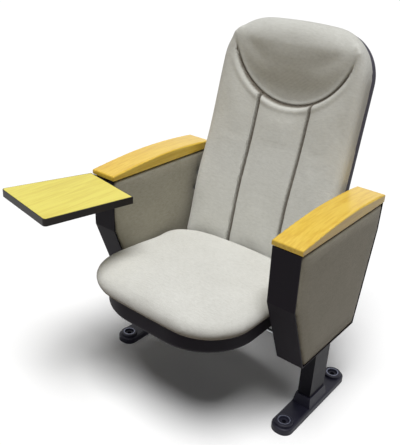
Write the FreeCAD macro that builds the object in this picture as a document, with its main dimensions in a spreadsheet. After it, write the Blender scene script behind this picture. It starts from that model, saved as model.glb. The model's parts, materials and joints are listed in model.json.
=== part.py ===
import FreeCAD, Part
import os
import Sketcher
from types import SimpleNamespace
from FreeCAD import Placement, Rotation, Vector

# Lecture-hall chair: a tip-up seat between two box arms on floor-bolted legs, with a writing tablet.
# The origin is the centre of the four floor bolts, +X is the sitter's left, the chair faces -Y, +Z is up.

# Driving sizes in millimetres and degrees
SIZES = (
    ("leg_spacing", 610, "between the middles of the two legs"),
    ("bolt_spacing", 280, "between the front and rear floor bolts"),
    ("bolt_hole", 13, "diameter of a floor bolt hole"),
    ("bolt_recess", 32, "diameter of the recess for a bolt head"),
    ("recess_depth", 6, "depth of the recess for a bolt head"),
    ("foot_length", 344, "foot, front to rear"),
    ("foot_width", 64, "foot, side to side"),
    ("foot_height", 20, "foot at its edge"),
    ("boss_height", 28, "top of the bolt bosses"),
    ("boss_width", 52, "diameter of a bolt boss"),
    ("socket_height", 52, "top of the collar that holds the leg"),
    ("socket_floor", 10, "level on which the leg stands in the foot"),
    ("leg_width", 40, "leg tube, side to side"),
    ("leg_depth", 80, "leg tube, front to rear"),
    ("leg_wall", 3, "wall of the leg tube"),
    ("leg_top", 322, "top of the leg tube, inside the arm"),
    ("arm_width", 85, "box arm over its side panels"),
    ("arm_base", 238, "underside of the box arm"),
    ("arm_top", 606.5, "top of the box arm, below its cap"),
    ("arm_front", 245, "front of the box arm at the top, ahead of the origin"),
    ("knee_front", 241, "front of the box arm at its bend"),
    ("knee_height", 450, "height of the bend in the front"),
    ("toe_front", 156, "front of the box arm at its underside"),
    ("heel_rear", 127, "rear of the box arm at its underside"),
    ("hip_rear", 184, "rear of the box arm at its rear bend"),
    ("hip_height", 524, "height of the rear bend"),
    ("arm_rear", 186, "rear of the box arm at the top"),
    ("cover_wall", 3, "wall of the moulded arm covers"),
    ("panel_thick", 14, "upholstered side panel"),
    ("panel_proud", 3, "how far a panel stands out of the covers"),
    ("panel_gap", 0.5, "gap round a panel"),
    ("plate_thick", 6, "steel plate in the arm"),
    ("cap_base", 609, "underside of the wooden arm caps"),
    ("cap_front_top", 623, "top of a cap at its front end"),
    ("cap_rear_top", 631, "top of a cap at its rear end"),
    ("cap_radius", 1740, "arch of a cap, seen from the side"),
    ("cap_edge", 4, "rounding of a cap's edges"),
    ("lid_barrel", 3.2, "radius of the lid hinge's barrel"),
    ("lid_leaf", 1, "thickness of a lid hinge leaf"),
    ("tablet_top", 612, "writing surface"),
    ("tablet_thick", 20, "writing board"),
    ("tablet_corner_x", 349, "outer rear corner of the tablet, left of the origin"),
    ("tablet_corner_y", 250, "outer rear corner of the tablet, ahead of the origin"),
    ("tablet_yaw", 9.8, "turn of the tablet's rear edge, degrees"),
    ("tablet_rear_width", 205, "rear edge of the tablet"),
    ("tablet_depth", 255, "tablet, rear to front"),
    ("tablet_flare", 35, "how far the outer edge runs outwards"),
    ("tablet_taper", 9, "how far the inner edge runs in"),
    ("tablet_edging", 2.5, "thickness of the tablet's edge band"),
    ("fold_axis_x", 292, "tablet fold axis, left of the origin"),
    ("fold_axis_z", 584, "height of the tablet fold axis"),
    ("fold_barrel", 5, "radius of the fold hinge's barrel"),
    ("seat_width", 504, "seat cushion"),
    ("seat_front", 410, "front of the seat cushion, ahead of the origin"),
    ("seat_rear", 50, "rear of the seat cushion"),
    ("seat_seam", 356, "height of the seam between cushion and pan"),
    ("seat_crown", 432, "highest point of the seat cushion"),
    ("seat_crown_y", 290, "highest point of the seat cushion, ahead of the origin"),
    ("seat_dome", 1600, "radius of the seat's crown"),
    ("seat_corner", 143, "rounding of the seat's front corners"),
    ("seat_rear_corner", 104, "rounding of the seat's rear corners"),
    ("seat_roll", 18, "rounding of the seat's top edge"),
    ("pan_inset", 20, "how far the pan stands in from the cushion"),
    ("pan_corner", 165, "rounding of the pan's front corners"),
    ("pan_base", 302, "underside of the seat pan"),
    ("pan_wall", 3, "wall of the seat pan"),
    ("board_thick", 10, "plywood boards"),
    ("pivot_y", 80, "seat pivot, ahead of the origin"),
    ("pivot_z", 320, "height of the seat pivot"),
    ("pivot_pin", 7, "radius of a seat pivot pin"),
    ("pivot_fit", 0.05, "running clearance of a seat pivot pin"),
    ("stop_y", 140, "seat stop pegs, ahead of the origin"),
    ("stop_sleeve", 8, "radius of the rubber on a stop peg"),
    ("back_width", 496, "back cushion"),
    ("back_taper", 14, "how far each side of the back stands further in at the shoulder"),
    ("back_height", 715, "back cushion along its slope"),
    ("back_arch", 18, "rise of the back's top edge in the middle"),
    ("back_corner", 138, "rounding of the back's top corners"),
    ("back_foot_y", 69.2, "face of the back at its lower end, behind the origin"),
    ("back_foot_z", 347.7, "height of the back's lower end"),
    ("back_recline", 13.3, "lean of the back, degrees"),
    ("back_cushion_thick", 34, "back cushion in the middle"),
    ("back_dish", 1100, "radius of the hollow across the back"),
    ("back_roll", 26, "rounding of the back's front edges"),
    ("back_foot_roll", 14, "rounding of the back's lower front edge"),
    ("channel_half", 86, "channels in the back, from the middle"),
    ("channel_radius", 7, "section of a channel"),
    ("head_radius", 200, "head-rest groove, seen from the front"),
    ("head_low", 471, "lowest point of the head-rest groove along the back"),
    ("head_lean", 10.3, "tilt of the head-rest groove against the back, degrees"),
    ("head_roll_up", 641, "middle of the roll across the head-rest, along the back"),
    ("head_roll_half", 194, "half the width of the head-rest's roll"),
    ("head_roll_depth", 30.5, "half the depth of the head-rest's roll"),
    ("head_roll_height", 67, "half the height of the head-rest's roll"),
    ("shell_depth", 46, "moulded back shell"),
    ("shell_wall", 3, "wall of the back shell"),
    ("back_bolt_low_y", 127, "lower bolt of a back bracket, behind the origin"),
    ("back_bolt_low_z", 483, "height of the lower bolt of a back bracket"),
    ("back_bolt_high_y", 138, "upper bolt of a back bracket, behind the origin"),
    ("back_bolt_high_z", 532, "height of the upper bolt of a back bracket"),
)

SIDES = (("left", -1), ("right", 1))

doc = FreeCAD.newDocument("LectureChair")
subparts = []


class Size:
    """A size that carries its number and the sheet formula that gives it."""

    def __init__(self, number, formula):
        self.number = number
        self.formula = formula

    def __add__(self, other):
        return Size(self.number + number_of(other), f"({self.formula} + {formula_of(other)})")

    def __sub__(self, other):
        return Size(self.number - number_of(other), f"({self.formula} - {formula_of(other)})")

    def __rsub__(self, other):
        return Size(number_of(other) - self.number, f"({formula_of(other)} - {self.formula})")

    def __mul__(self, other):
        return Size(self.number * number_of(other), f"({self.formula} * {formula_of(other)})")

    def __truediv__(self, other):
        return Size(self.number / number_of(other), f"({self.formula} / {formula_of(other)})")

    def __neg__(self):
        return Size(-self.number, f"(0 - {self.formula})")

    __radd__ = __add__
    __rmul__ = __mul__


def number_of(size):
    return size.number if isinstance(size, Size) else float(size)


def formula_of(size):
    return size.formula if isinstance(size, Size) else f"({float(size):.4f})"


def make_sheet():
    sheet = doc.addObject("Spreadsheet::Sheet", "Sizes")
    named = SimpleNamespace()
    for row, (name, value, meaning) in enumerate(SIZES, start=1):
        sheet.set(f"A{row}", name)
        sheet.set(f"B{row}", str(value))
        sheet.set(f"C{row}", meaning)
        sheet.setAlias(f"B{row}", name)
        setattr(named, name, Size(float(value), f"Sizes.{name}"))
    doc.recompute()
    return named


d = make_sheet()
half_span = d.leg_spacing / 2
inner_face = half_span - d.arm_width / 2
outer_face = half_span + d.arm_width / 2
plate_inner = half_span - d.leg_width / 2 - d.plate_thick
plate_outer = half_span - d.leg_width / 2


def bind(feature, name, size):
    """Set one property, and tie it to the sheet if the size comes from there."""
    setattr(feature, name, number_of(size))
    if isinstance(size, Size):
        feature.setExpression(name, size.formula)


def place(feature, at, turn=Rotation()):
    feature.Placement = Placement(Vector(*(number_of(size) for size in at)), turn)
    for axis, size in zip("xyz", at):
        if isinstance(size, Size):
            feature.setExpression(f"Placement.Base.{axis}", size.formula)


def keep(feature):
    """Count a feature among the finished sub-parts."""
    subparts.append(feature)
    return feature


def fix_point(sketch, geometry, vertex, at):
    for kind, size in zip(("DistanceX", "DistanceY"), at):
        rule = Sketcher.Constraint(kind, -1, 1, geometry, vertex, number_of(size))
        index = sketch.addConstraint(rule)
        if isinstance(size, Size):
            sketch.setExpression(f"Constraints[{index}]", size.formula)


def add_loop(sketch, points):
    first = sketch.GeometryCount
    corners = [Vector(number_of(a), number_of(b), 0) for a, b in points]
    for index, corner in enumerate(corners):
        following = corners[(index + 1) % len(corners)]
        sketch.addGeometry(Part.LineSegment(corner, following), False)
    for index, point in enumerate(points):
        after = first + (index + 1) % len(points)
        sketch.addConstraint(Sketcher.Constraint("Coincident", first + index, 2, after, 1))
        fix_point(sketch, first + index, 1, point)


def add_circle(sketch, a, b, radius):
    centre = Vector(number_of(a), number_of(b), 0)
    circle = sketch.addGeometry(Part.Circle(centre, Vector(0, 0, 1), number_of(radius)), False)
    fix_point(sketch, circle, 3, (a, b))
    index = sketch.addConstraint(Sketcher.Constraint("Radius", circle, number_of(radius)))
    if isinstance(radius, Size):
        sketch.setExpression(f"Constraints[{index}]", radius.formula)


def add_sketch(body, plane, offset, loops, circles=()):
    """A sketch on one of the body's own planes, moved along the plane's normal by offset."""
    sketch = body.newObject("Sketcher::SketchObject", f"{body.Label}_sketch")
    support = next(f for f in body.Origin.OriginFeatures if f.Role == f"{plane}_Plane")
    sketch.AttachmentSupport = [(support, "")]
    sketch.MapMode = "FlatFace"
    sketch.AttachmentOffset = Placement(Vector(0, 0, number_of(offset)), Rotation())
    if isinstance(offset, Size):
        sketch.setExpression("AttachmentOffset.Base.z", offset.formula)
    for loop in loops:
        add_loop(sketch, loop)
    for circle in circles:
        add_circle(sketch, *circle)
    return sketch


def new_body(label):
    body = doc.addObject("PartDesign::Body", label)
    body.Label = label
    return body


def add_pad(body, sketch, length, back=False):
    pad = body.newObject("PartDesign::Pad", f"{body.Label}_pad")
    pad.Profile = sketch
    pad.Reversed = back
    bind(pad, "Length", length)
    doc.recompute()
    return pad


def plate(label, plane, offset, thickness, outline, circles=(), inner=()):
    """A piece of one thickness: an outline with its holes, padded along the plane's normal."""
    body = new_body(label)
    add_pad(body, add_sketch(body, plane, offset, [outline, *inner], circles), thickness)
    return body


def round_edges(body, radius, wanted):
    """Round the edges of the body's last feature that the test picks."""
    base = body.Tip
    names = [f"Edge{i}" for i, edge in enumerate(base.Shape.Edges, start=1) if wanted(edge)]
    fillet = body.newObject("PartDesign::Fillet", f"{body.Label}_fillet")
    fillet.Base = (base, names)
    bind(fillet, "Radius", radius)
    doc.recompute()


def hollow(body, wall, open_face):
    """Turn the body into a tray of one wall, open at the face that the test picks."""
    base = body.Tip
    names = [f"Face{i}" for i, face in enumerate(base.Shape.Faces, start=1) if open_face(face)]
    shell = body.newObject("PartDesign::Thickness", f"{body.Label}_hollow")
    shell.Base = (base, names)
    shell.Reversed = True
    bind(shell, "Value", wall)
    doc.recompute()


def runs_along(axis):
    """A test for straight edges along one axis."""
    def test(edge):
        if edge.Curve.TypeId != "Part::GeomLine":
            return False
        return abs(getattr(edge.tangentAt(edge.FirstParameter), axis)) > 0.999
    return test


def flat_at(axis, level):
    """A test for edges and faces that lie whole at one level of an axis."""
    def test(shape):
        box = shape.BoundBox
        low = getattr(box, f"{axis}Min")
        high = getattr(box, f"{axis}Max")
        return max(abs(low - number_of(level)), abs(high - number_of(level))) < 0.01
    return test


TURN_TO = {"x": Rotation(Vector(0, 1, 0), 90), "y": Rotation(Vector(1, 0, 0), -90), "z": Rotation()}


def cylinder(label, axis, at, radius, length):
    """A round bar from a point along an axis."""
    bar = doc.addObject("Part::Cylinder", label)
    bind(bar, "Radius", radius)
    bind(bar, "Height", length)
    place(bar, at, TURN_TO[axis])
    return bar


def block(label, low, high):
    """A box between two corners."""
    box = doc.addObject("Part::Box", label)
    for name, start, end in zip(("Length", "Width", "Height"), low, high):
        bind(box, name, end - start)
    place(box, low)
    return box


def fuse(label, pieces):
    joined = doc.addObject("Part::MultiFuse", label)
    joined.Shapes = list(pieces)
    return joined


def cut(label, base, tools):
    tools = list(tools)
    result = doc.addObject("Part::Cut", label)
    result.Base = base
    result.Tool = tools[0] if len(tools) == 1 else fuse(f"{label}_tools", tools)
    return result


def group(label, pieces):
    """One node of separate solids."""
    gathered = doc.addObject("Part::Compound", label)
    gathered.Links = list(pieces)
    return gathered


def lower_x(side, low, high):
    """Lower X of a piece that lies between two distances from the middle, on one side."""
    return low if side > 0 else -high


def bar_x(label, side, low, high, y, z, radius):
    """A round bar across, between two distances from the middle on one side."""
    return cylinder(label, "x", (lower_x(side, low, high), y, z), radius, high - low)


def screw_x(label, side, head, end, y, z, shank, head_radius, head_height):
    """A screw that goes in towards the middle: its head lies outside the distance named head."""
    return fuse(label, (
        bar_x(f"{label}_shank", side, end, head, y, z, shank),
        bar_x(f"{label}_head", side, head, head + head_height, y, z, head_radius),
    ))


def screw_up(label, x, y, head, end, shank, head_radius, head_height):
    """A screw that goes in upwards: its head lies below the level named head."""
    return fuse(label, (
        cylinder(f"{label}_shank", "z", (x, y, head), shank, end - head),
        cylinder(f"{label}_head", "z", (x, y, head - head_height), head_radius, head_height),
    ))


# Feet and legs

END_FLAT = 4
FOOT_EDGE = 5
BOSS_EDGE = 3
COLLAR_FOOT = 10
COLLAR_TOP = 4
LEG_FIT = 0.3


def foot(name, side):
    middle = side * half_span
    body = new_body(f"foot_{name}")
    half_length = d.foot_length / 2
    half_width = d.foot_width / 2
    outline = rectangle(middle - half_width, -half_length, middle + half_width, half_length)
    add_pad(body, add_sketch(body, "XY", 0, [outline]), d.foot_height)
    round_edges(body, d.foot_width / 2 - END_FLAT, runs_along("z"))
    round_edges(body, FOOT_EDGE, flat_at("Z", d.foot_height))
    hole_ys = (-d.bolt_spacing / 2, d.bolt_spacing / 2)
    bosses = [(middle, y, d.boss_width / 2) for y in hole_ys]
    add_pad(body, add_sketch(body, "XY", 0, [], bosses), d.boss_height)
    round_edges(body, BOSS_EDGE, flat_at("Z", d.boss_height))
    collar(body, middle)
    holes = [(middle, y, d.bolt_hole / 2) for y in hole_ys]
    add_pocket(body, add_sketch(body, "XY", 0, [], holes), d.boss_height)
    recesses = [(middle, y, d.bolt_recess / 2) for y in hole_ys]
    recess_floor = d.boss_height - d.recess_depth
    add_pocket(body, add_sketch(body, "XY", recess_floor, [], recesses), d.recess_depth)
    socket = leg_outline(middle, 0)
    add_pocket(body, add_sketch(body, "XY", d.socket_floor, [socket]), d.socket_height)
    return keep(body)


def collar(body, middle):
    """The flared collar that rises from the foot to the leg."""
    low = leg_outline(middle, COLLAR_FOOT)
    high = leg_outline(middle, COLLAR_TOP)
    loft = body.newObject("PartDesign::AdditiveLoft", f"{body.Label}_collar")
    loft.Profile = add_sketch(body, "XY", d.socket_floor, [low])
    loft.Sections = [add_sketch(body, "XY", d.socket_height, [high])]
    doc.recompute()


def rectangle(low_a, low_b, high_a, high_b):
    return [(low_a, low_b), (high_a, low_b), (high_a, high_b), (low_a, high_b)]


def leg_outline(middle, spread):
    half_width = d.leg_width / 2 + spread
    half_depth = d.leg_depth / 2 + spread
    return rectangle(middle - half_width, -half_depth, middle + half_width, half_depth)


def add_pocket(body, sketch, depth):
    """Cut upwards from a sketch."""
    pocket = body.newObject("PartDesign::Pocket", f"{body.Label}_pocket")
    pocket.Profile = sketch
    pocket.Reversed = True
    bind(pocket, "Length", depth)
    doc.recompute()


def leg(name, side):
    middle = side * half_span
    outline = leg_outline(middle, 0)
    bore = leg_outline(middle, -d.leg_wall)
    height = d.leg_top - d.socket_floor
    return keep(plate(f"leg_{name}", "XY", d.socket_floor, height, outline, inner=[bore]))


# Box arms

def arm_outline(inset):
    """The arm seen from the side, drawn in by a wall all round except at the open top."""
    return [
        (-d.arm_front + inset, d.arm_top),
        (-d.knee_front + inset, d.knee_height),
        (-d.toe_front + inset, d.arm_base + inset),
        (d.heel_rear - inset, d.arm_base + inset),
        (d.hip_rear - inset, d.hip_height),
        (d.arm_rear - inset, d.arm_top),
    ]


PANEL_EDGE = 5
SLOT_WIDTH = 14
SLOT_DEPTH = 20
SLOT_HEIGHT = 62
SLOT_OVER = 4
SLOT_AHEAD = 8
cover_low = inner_face + d.panel_proud
cover_width = d.arm_width - d.panel_proud * 2


def arm_covers(name, side):
    """The moulded casing in three pieces: front, underside and rear."""
    outer = arm_outline(0)
    inner = arm_outline(d.cover_wall)
    start = lower_x(side, cover_low, cover_low + cover_width)
    front = plate(f"arm_front_cover_{name}", "YZ", start, cover_width, outer[:3] + inner[2::-1])
    rear = plate(f"arm_rear_cover_{name}", "YZ", start, cover_width, outer[3:] + inner[:2:-1])
    middle = side * half_span
    base = rectangle(start, inner[2][0] - d.cover_wall, start + cover_width, inner[3][0] + d.cover_wall)
    hole = leg_outline(middle, LEG_FIT)
    blank = plate(f"arm_under_blank_{name}", "XY", d.arm_base, d.cover_wall, base, inner=[hole])
    if side < 0:
        add_tablet_slot(front)
    keep(front)
    keep(rear)
    keep(cut(f"arm_under_cover_{name}", blank, (front, rear)))


def add_tablet_slot(front):
    """The slot in the left front cover through which the tablet's arm comes out."""
    slot = front.newObject("PartDesign::SubtractiveBox", "tablet_slot")
    bind(slot, "Length", SLOT_WIDTH)
    bind(slot, "Width", SLOT_DEPTH)
    bind(slot, "Height", SLOT_HEIGHT)
    low = d.arm_top + SLOT_OVER - SLOT_HEIGHT
    place(slot, (-d.fold_axis_x - SLOT_WIDTH / 2, -d.arm_front - SLOT_AHEAD, low))
    doc.recompute()


def side_panel(label, side, low, circles=()):
    high = low + d.panel_thick
    start = lower_x(side, low, high)
    outline = arm_outline(d.cover_wall + d.panel_gap)
    body = plate(label, "YZ", start, d.panel_thick, outline, circles)
    shown = low if low is inner_face else high
    level = side * shown
    outer_edge = flat_at("X", level)
    straight = "Part::GeomLine"
    round_edges(body, PANEL_EDGE, lambda edge: outer_edge(edge) and edge.Curve.TypeId == straight)
    return keep(body)


back_bolts = (
    (d.back_bolt_low_y, d.back_bolt_low_z),
    (d.back_bolt_high_y, d.back_bolt_high_z),
)
SPACER_RADIUS = 9
BOLT_RADIUS = 4
PEG_RADIUS = 5
PASSAGE = 1
STOP_GAP = 0.4
FRAME_CLEAR = 11
FRAME_DROP = 2.5
# Middle and radius of the holes that lighten a frame plate, from the side
FRAME_HOLES = ((-130, 430, 42), (-20, 420, 42))
# Places of the standoffs and the panel screws, from the side
STANDOFFS = ((-110, 285), (92, 285), (140, 450))
PANEL_SCREWS = ((-200, 520), (-150, 330), (100, 300), (155, 575))
STANDOFF_RADIUS = 5
# Shank radius, head radius and head height of the screws for panels and caps
PANEL_SCREW = (2.5, 5, 3)
PANEL_SCREW_COVER = 6
stop_z = d.pan_base - d.stop_sleeve - STOP_GAP
frame_top = d.arm_top - FRAME_DROP


def arm_panels(name, side):
    holes = [(y, z, SPACER_RADIUS + PASSAGE) for y, z in back_bolts]
    holes.append((-d.pivot_y, d.pivot_z, d.pivot_pin + PASSAGE * 2))
    holes.append((-d.stop_y, stop_z, PEG_RADIUS + PASSAGE))
    side_panel(f"inner_panel_{name}", side, inner_face, holes)
    side_panel(f"outer_panel_{name}", side, outer_face - d.panel_thick)


def arm_frame(name, side):
    """The steel plate that the leg carries inside the arm."""
    start = lower_x(side, plate_inner, plate_outer)
    outline = arm_outline(d.cover_wall + FRAME_CLEAR)
    outline[0] = (outline[0][0], frame_top)
    outline[-1] = (outline[-1][0], frame_top)
    holes = [(y, z, BOLT_RADIUS) for y, z in back_bolts]
    holes.extend(FRAME_HOLES)
    keep(plate(f"arm_frame_{name}", "YZ", start, d.plate_thick, outline, holes))


def panel_fixings():
    """Standoffs to the outer panels, and screws that hold the inner panels to the frame plates."""
    standoffs = []
    screws = []
    for name, side in SIDES:
        for index, (y, z) in enumerate(STANDOFFS):
            low = plate_outer
            high = outer_face - d.panel_thick
            standoffs.append(bar_x(f"standoff_{name}_{index}", side, low, high, y, z, STANDOFF_RADIUS))
        for index, (y, z) in enumerate(PANEL_SCREWS):
            end = inner_face + PANEL_SCREW_COVER
            label = f"panel_screw_{name}_{index}"
            screws.append(screw_x(label, side, plate_outer, end, y, z, *PANEL_SCREW))
    keep(group("panel_standoffs", standoffs))
    keep(group("panel_screws", screws))


# Wooden caps

CAP_BLANK = 60
CAP_SHORT = 2
RAIL_FRONT = 210
RAIL_WIDTH = 26
RAIL_SHORT = 36
CAP_SCREWS = (-180, -70, 40, 130)
SCREW_BITE = 12
cap_rear = d.arm_rear - CAP_SHORT
cap_low_y = -d.arm_front
cap_middle_y = (cap_rear - d.arm_front) / 2


def cap(label, side):
    """A wooden cap: flat below, arched along its length, with rounded edges."""
    start = lower_x(side, inner_face, outer_face)
    far = (start + d.arm_width, cap_rear, d.cap_base + CAP_BLANK)
    blank = block(f"{label}_blank", (start, cap_low_y, d.cap_base), far)
    arch = cap_arch(f"{label}_arch", start)
    shaped = doc.addObject("Part::Common", f"{label}_shaped")
    shaped.Base = blank
    shaped.Tool = arch
    doc.recompute()
    above = d.cap_base.number + 1
    return keep(round_solid(label, shaped, d.cap_edge.number, lambda edge: edge.BoundBox.ZMax > above))


def cap_arch(label, start):
    """A wide drum whose upper side gives both caps their arch."""
    at = (start, cap_crest_y, cap_crest_z - d.cap_radius)
    return cylinder(label, "x", at, d.cap_radius, d.arm_width)


cap_length = d.arm_front + cap_rear
cap_rise = (d.cap_rear_top - d.cap_front_top) / cap_length
cap_crest_y = cap_middle_y + cap_rise * d.cap_radius
cap_crest_z = (d.cap_front_top + d.cap_rear_top) / 2 + cap_length * cap_length / (d.cap_radius * 8)


def right_cap():
    cap("arm_cap_right", 1)
    low = (plate_inner, -RAIL_FRONT, frame_top)
    high = (half_span + RAIL_WIDTH, d.arm_rear - RAIL_SHORT, d.cap_base)
    keep(block("cap_rail_right", low, high))
    screws = []
    end = d.cap_base + SCREW_BITE
    for index, y in enumerate(CAP_SCREWS):
        screws.append(screw_up(f"cap_screw_{index}", half_span, y, frame_top, end, *PANEL_SCREW))
    keep(group("cap_screws_right", screws))


# Left cap: a lid over the tablet pocket, hinged along its outer edge

LID_PIN = 1.5
PIN_FIT = 0.06
LID_KNUCKLES = 5
LID_KNUCKLE = 54
KNUCKLE_GAP = 0.5
LID_HINGE_LOW = -160
LEAF_WIDTH = 24
LEAF_INSET = 0.1
BARREL_GAP = 0.2
LID_PADS = (-190, 120)
PAD_LENGTH = 20
PAD_GAP = 0.3
LID_SCREW_X = 15
LID_SCREW_OFFSETS = (14, 40)
LID_SCREW_RADIUS = 1.8
LID_SCREW_BITE = 8
lid_axis_x = -outer_face - d.lid_barrel - BARREL_GAP
lid_axis_z = (d.arm_top + d.cap_base) / 2
lid_hinge_length = LID_KNUCKLE * LID_KNUCKLES


def lid_leaf(label, level, first, bore):
    """A hinge leaf with every second knuckle."""
    outer_edge = -outer_face + LEAF_INSET
    low = (outer_edge, LID_HINGE_LOW, level)
    high = (-outer_face + LEAF_WIDTH, LID_HINGE_LOW + lid_hinge_length, level + d.lid_leaf)
    pieces = [block(f"{label}_flat", low, high)]
    for index in range(first, LID_KNUCKLES, 2):
        start = LID_HINGE_LOW + LID_KNUCKLE * index + KNUCKLE_GAP
        length = LID_KNUCKLE - KNUCKLE_GAP * 2
        at = (lid_axis_x, start, lid_axis_z)
        pieces.append(cylinder(f"{label}_knuckle_{index}", "y", at, d.lid_barrel, length))
        tab_low = (lid_axis_x, start, level)
        tab_high = (outer_edge, start + length, level + d.lid_leaf)
        pieces.append(block(f"{label}_tab_{index}", tab_low, tab_high))
    whole = fuse(f"{label}_whole", pieces)
    at = (lid_axis_x, LID_HINGE_LOW, lid_axis_z)
    hole = cylinder(f"{label}_bore", "y", at, bore, lid_hinge_length)
    return keep(cut(label, whole, [hole]))


def left_lid():
    cap("arm_lid_left", -1)
    lid_leaf("lid_hinge_fixed_leaf", d.arm_top, 0, LID_PIN)
    lid_leaf("lid_hinge_moving_leaf", d.cap_base - d.lid_leaf, 1, LID_PIN + PIN_FIT)
    at = (lid_axis_x, LID_HINGE_LOW, lid_axis_z)
    keep(cylinder("lid_hinge_pin", "y", at, LID_PIN, lid_hinge_length))
    pads = []
    for index, y in enumerate(LID_PADS):
        low = (-plate_outer, y, frame_top)
        high = (-plate_inner, y + PAD_LENGTH, d.cap_base - PAD_GAP)
        pads.append(block(f"lid_pad_{index}", low, high))
    keep(group("lid_pads", pads))
    screws = []
    for index in (1, 3):
        for offset in LID_SCREW_OFFSETS:
            y = LID_HINGE_LOW + LID_KNUCKLE * index + offset
            at = (-outer_face + LID_SCREW_X, y, d.cap_base)
            label = f"lid_screw_{index}_{offset}"
            screws.append(cylinder(label, "z", at, LID_SCREW_RADIUS, LID_SCREW_BITE))
    keep(group("lid_screws", screws))


# Writing tablet, its fold hinge and the arm that carries it

tablet_base = d.tablet_top - d.tablet_thick
EDGE_DROP = 0.5
TABLET_CORNER = 10
FOLD_PIN = 2.5
FOLD_LEAF = 2.5
LEAF_BEHIND = 4
LEAF_REACH = 56
LEAF_ENDS = (-340, -270)
LEAF_WEB = 3
# Front and rear ends of the fold hinge's knuckles: two on the arm, one on the leaf between them
ARM_KNUCKLES = ((-290, -268), (-342, -318))
LEAF_KNUCKLE = (-316, -292)
FOLD_ENDS = (-342, -268)
FOLD_SCREWS = ((12, -282), (46, -282), (12, -328), (46, -328))
FOLD_SCREW = (2, 4, 1.8)
# Outline of the flat bar from the side, from the top of its rear end
ARM_BAR = (
    (-226, 585), (-258, 578), (-342, 578), (-342, 566),
    (-262, 552), (-226, 556), (-204, 560), (-204, 582),
)
BAR_TOP = 577
BAR_HALF = 4
TABLET_PIN = (-215, 571)
TABLET_PIN_RADIUS = 5
TABLET_PIN_HEAD = 9
PIN_HEAD_HEIGHT = 4
SPACER_RING = 12
STOP_PIN = (-212, 553)
STOP_PIN_RADIUS = 4
bar_near = -d.fold_axis_x + BAR_HALF
bar_far = -d.fold_axis_x - BAR_HALF


def tablet_outline(inset):
    """The tablet's corners, from its outer rear corner."""
    return [
        (inset, -inset),
        (d.tablet_rear_width - inset, -inset),
        (d.tablet_rear_width - d.tablet_taper - inset, -d.tablet_depth + inset),
        (-d.tablet_flare + inset, -d.tablet_depth + inset),
    ]


def turn_with_tablet(body, level):
    turn = Rotation(Vector(0, 0, 1), -d.tablet_yaw.number)
    place(body, (-d.tablet_corner_x, -d.tablet_corner_y, level), turn)
    body.setExpression("Placement.Rotation.Angle", (-d.tablet_yaw).formula)


def front_corner(edge):
    return runs_along("z")(edge) and edge.BoundBox.YMax < -d.tablet_depth.number / 2


def tablet_pieces():
    inside = tablet_outline(d.tablet_edging)
    inside_corner = TABLET_CORNER - d.tablet_edging
    height = d.tablet_thick - EDGE_DROP
    edging = plate("tablet_edge", "XY", 0, height, tablet_outline(0), inner=[inside])
    round_edges(edging, TABLET_CORNER, lambda edge: front_corner(edge) and outside_edge(edge))
    round_edges(edging, inside_corner, lambda edge: front_corner(edge) and not outside_edge(edge))
    board = plate("tablet_board", "XY", 0, d.tablet_thick, inside)
    round_edges(board, inside_corner, front_corner)
    for body in (edging, board):
        turn_with_tablet(body, tablet_base)
        keep(body)


def outside_edge(edge):
    return edge.BoundBox.YMin < -d.tablet_depth.number + 0.5


def fold_hinge():
    x = -d.fold_axis_x
    z = d.fold_axis_z
    leaf_low = tablet_base - FOLD_LEAF
    low_y, high_y = LEAF_ENDS
    low = (x - LEAF_BEHIND, low_y, leaf_low)
    flat = block("fold_leaf_flat", low, (x + LEAF_REACH, high_y, tablet_base))
    start, end = LEAF_KNUCKLE
    knuckle = cylinder("fold_leaf_knuckle", "y", (x, start, z), d.fold_barrel, end - start)
    web = block("fold_leaf_web", (x - LEAF_WEB, start, z), (x + LEAF_WEB, end, leaf_low))
    whole = fuse("fold_leaf_whole", (flat, knuckle, web))
    front, rear = FOLD_ENDS
    bore = cylinder("fold_leaf_bore", "y", (x, front, z), FOLD_PIN + PIN_FIT, rear - front)
    keep(cut("tablet_hinge_leaf", whole, [bore]))
    keep(cylinder("tablet_hinge_pin", "y", (x, front, z), FOLD_PIN, rear - front))
    screws = []
    for index, (across, y) in enumerate(FOLD_SCREWS):
        label = f"tablet_screw_{index}"
        screws.append(screw_up(label, x + across, y, leaf_low, tablet_base + SCREW_BITE, *FOLD_SCREW))
    keep(group("tablet_screws", screws))


def tablet_arm():
    """The flat bar that comes out of the arm box and carries the fold hinge."""
    pin_y, pin_z = TABLET_PIN
    bar = plate("tablet_arm_bar", "YZ", bar_far, BAR_HALF * 2, ARM_BAR, [(pin_y, pin_z, TABLET_PIN_RADIUS)])
    pieces = [bar]
    for index, (start, end) in enumerate(ARM_KNUCKLES):
        at = (-d.fold_axis_x, start, d.fold_axis_z)
        pieces.append(cylinder(f"arm_knuckle_{index}", "y", at, d.fold_barrel, end - start))
        pieces.append(block(f"arm_post_{index}", (bar_far, start, BAR_TOP), (bar_near, end, d.fold_axis_z)))
    whole = fuse("tablet_arm_whole", pieces)
    front, rear = FOLD_ENDS
    bore = cylinder("tablet_arm_bore", "y", (-d.fold_axis_x, front, d.fold_axis_z), FOLD_PIN, rear - front)
    keep(cut("tablet_arm", whole, [bore]))


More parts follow.
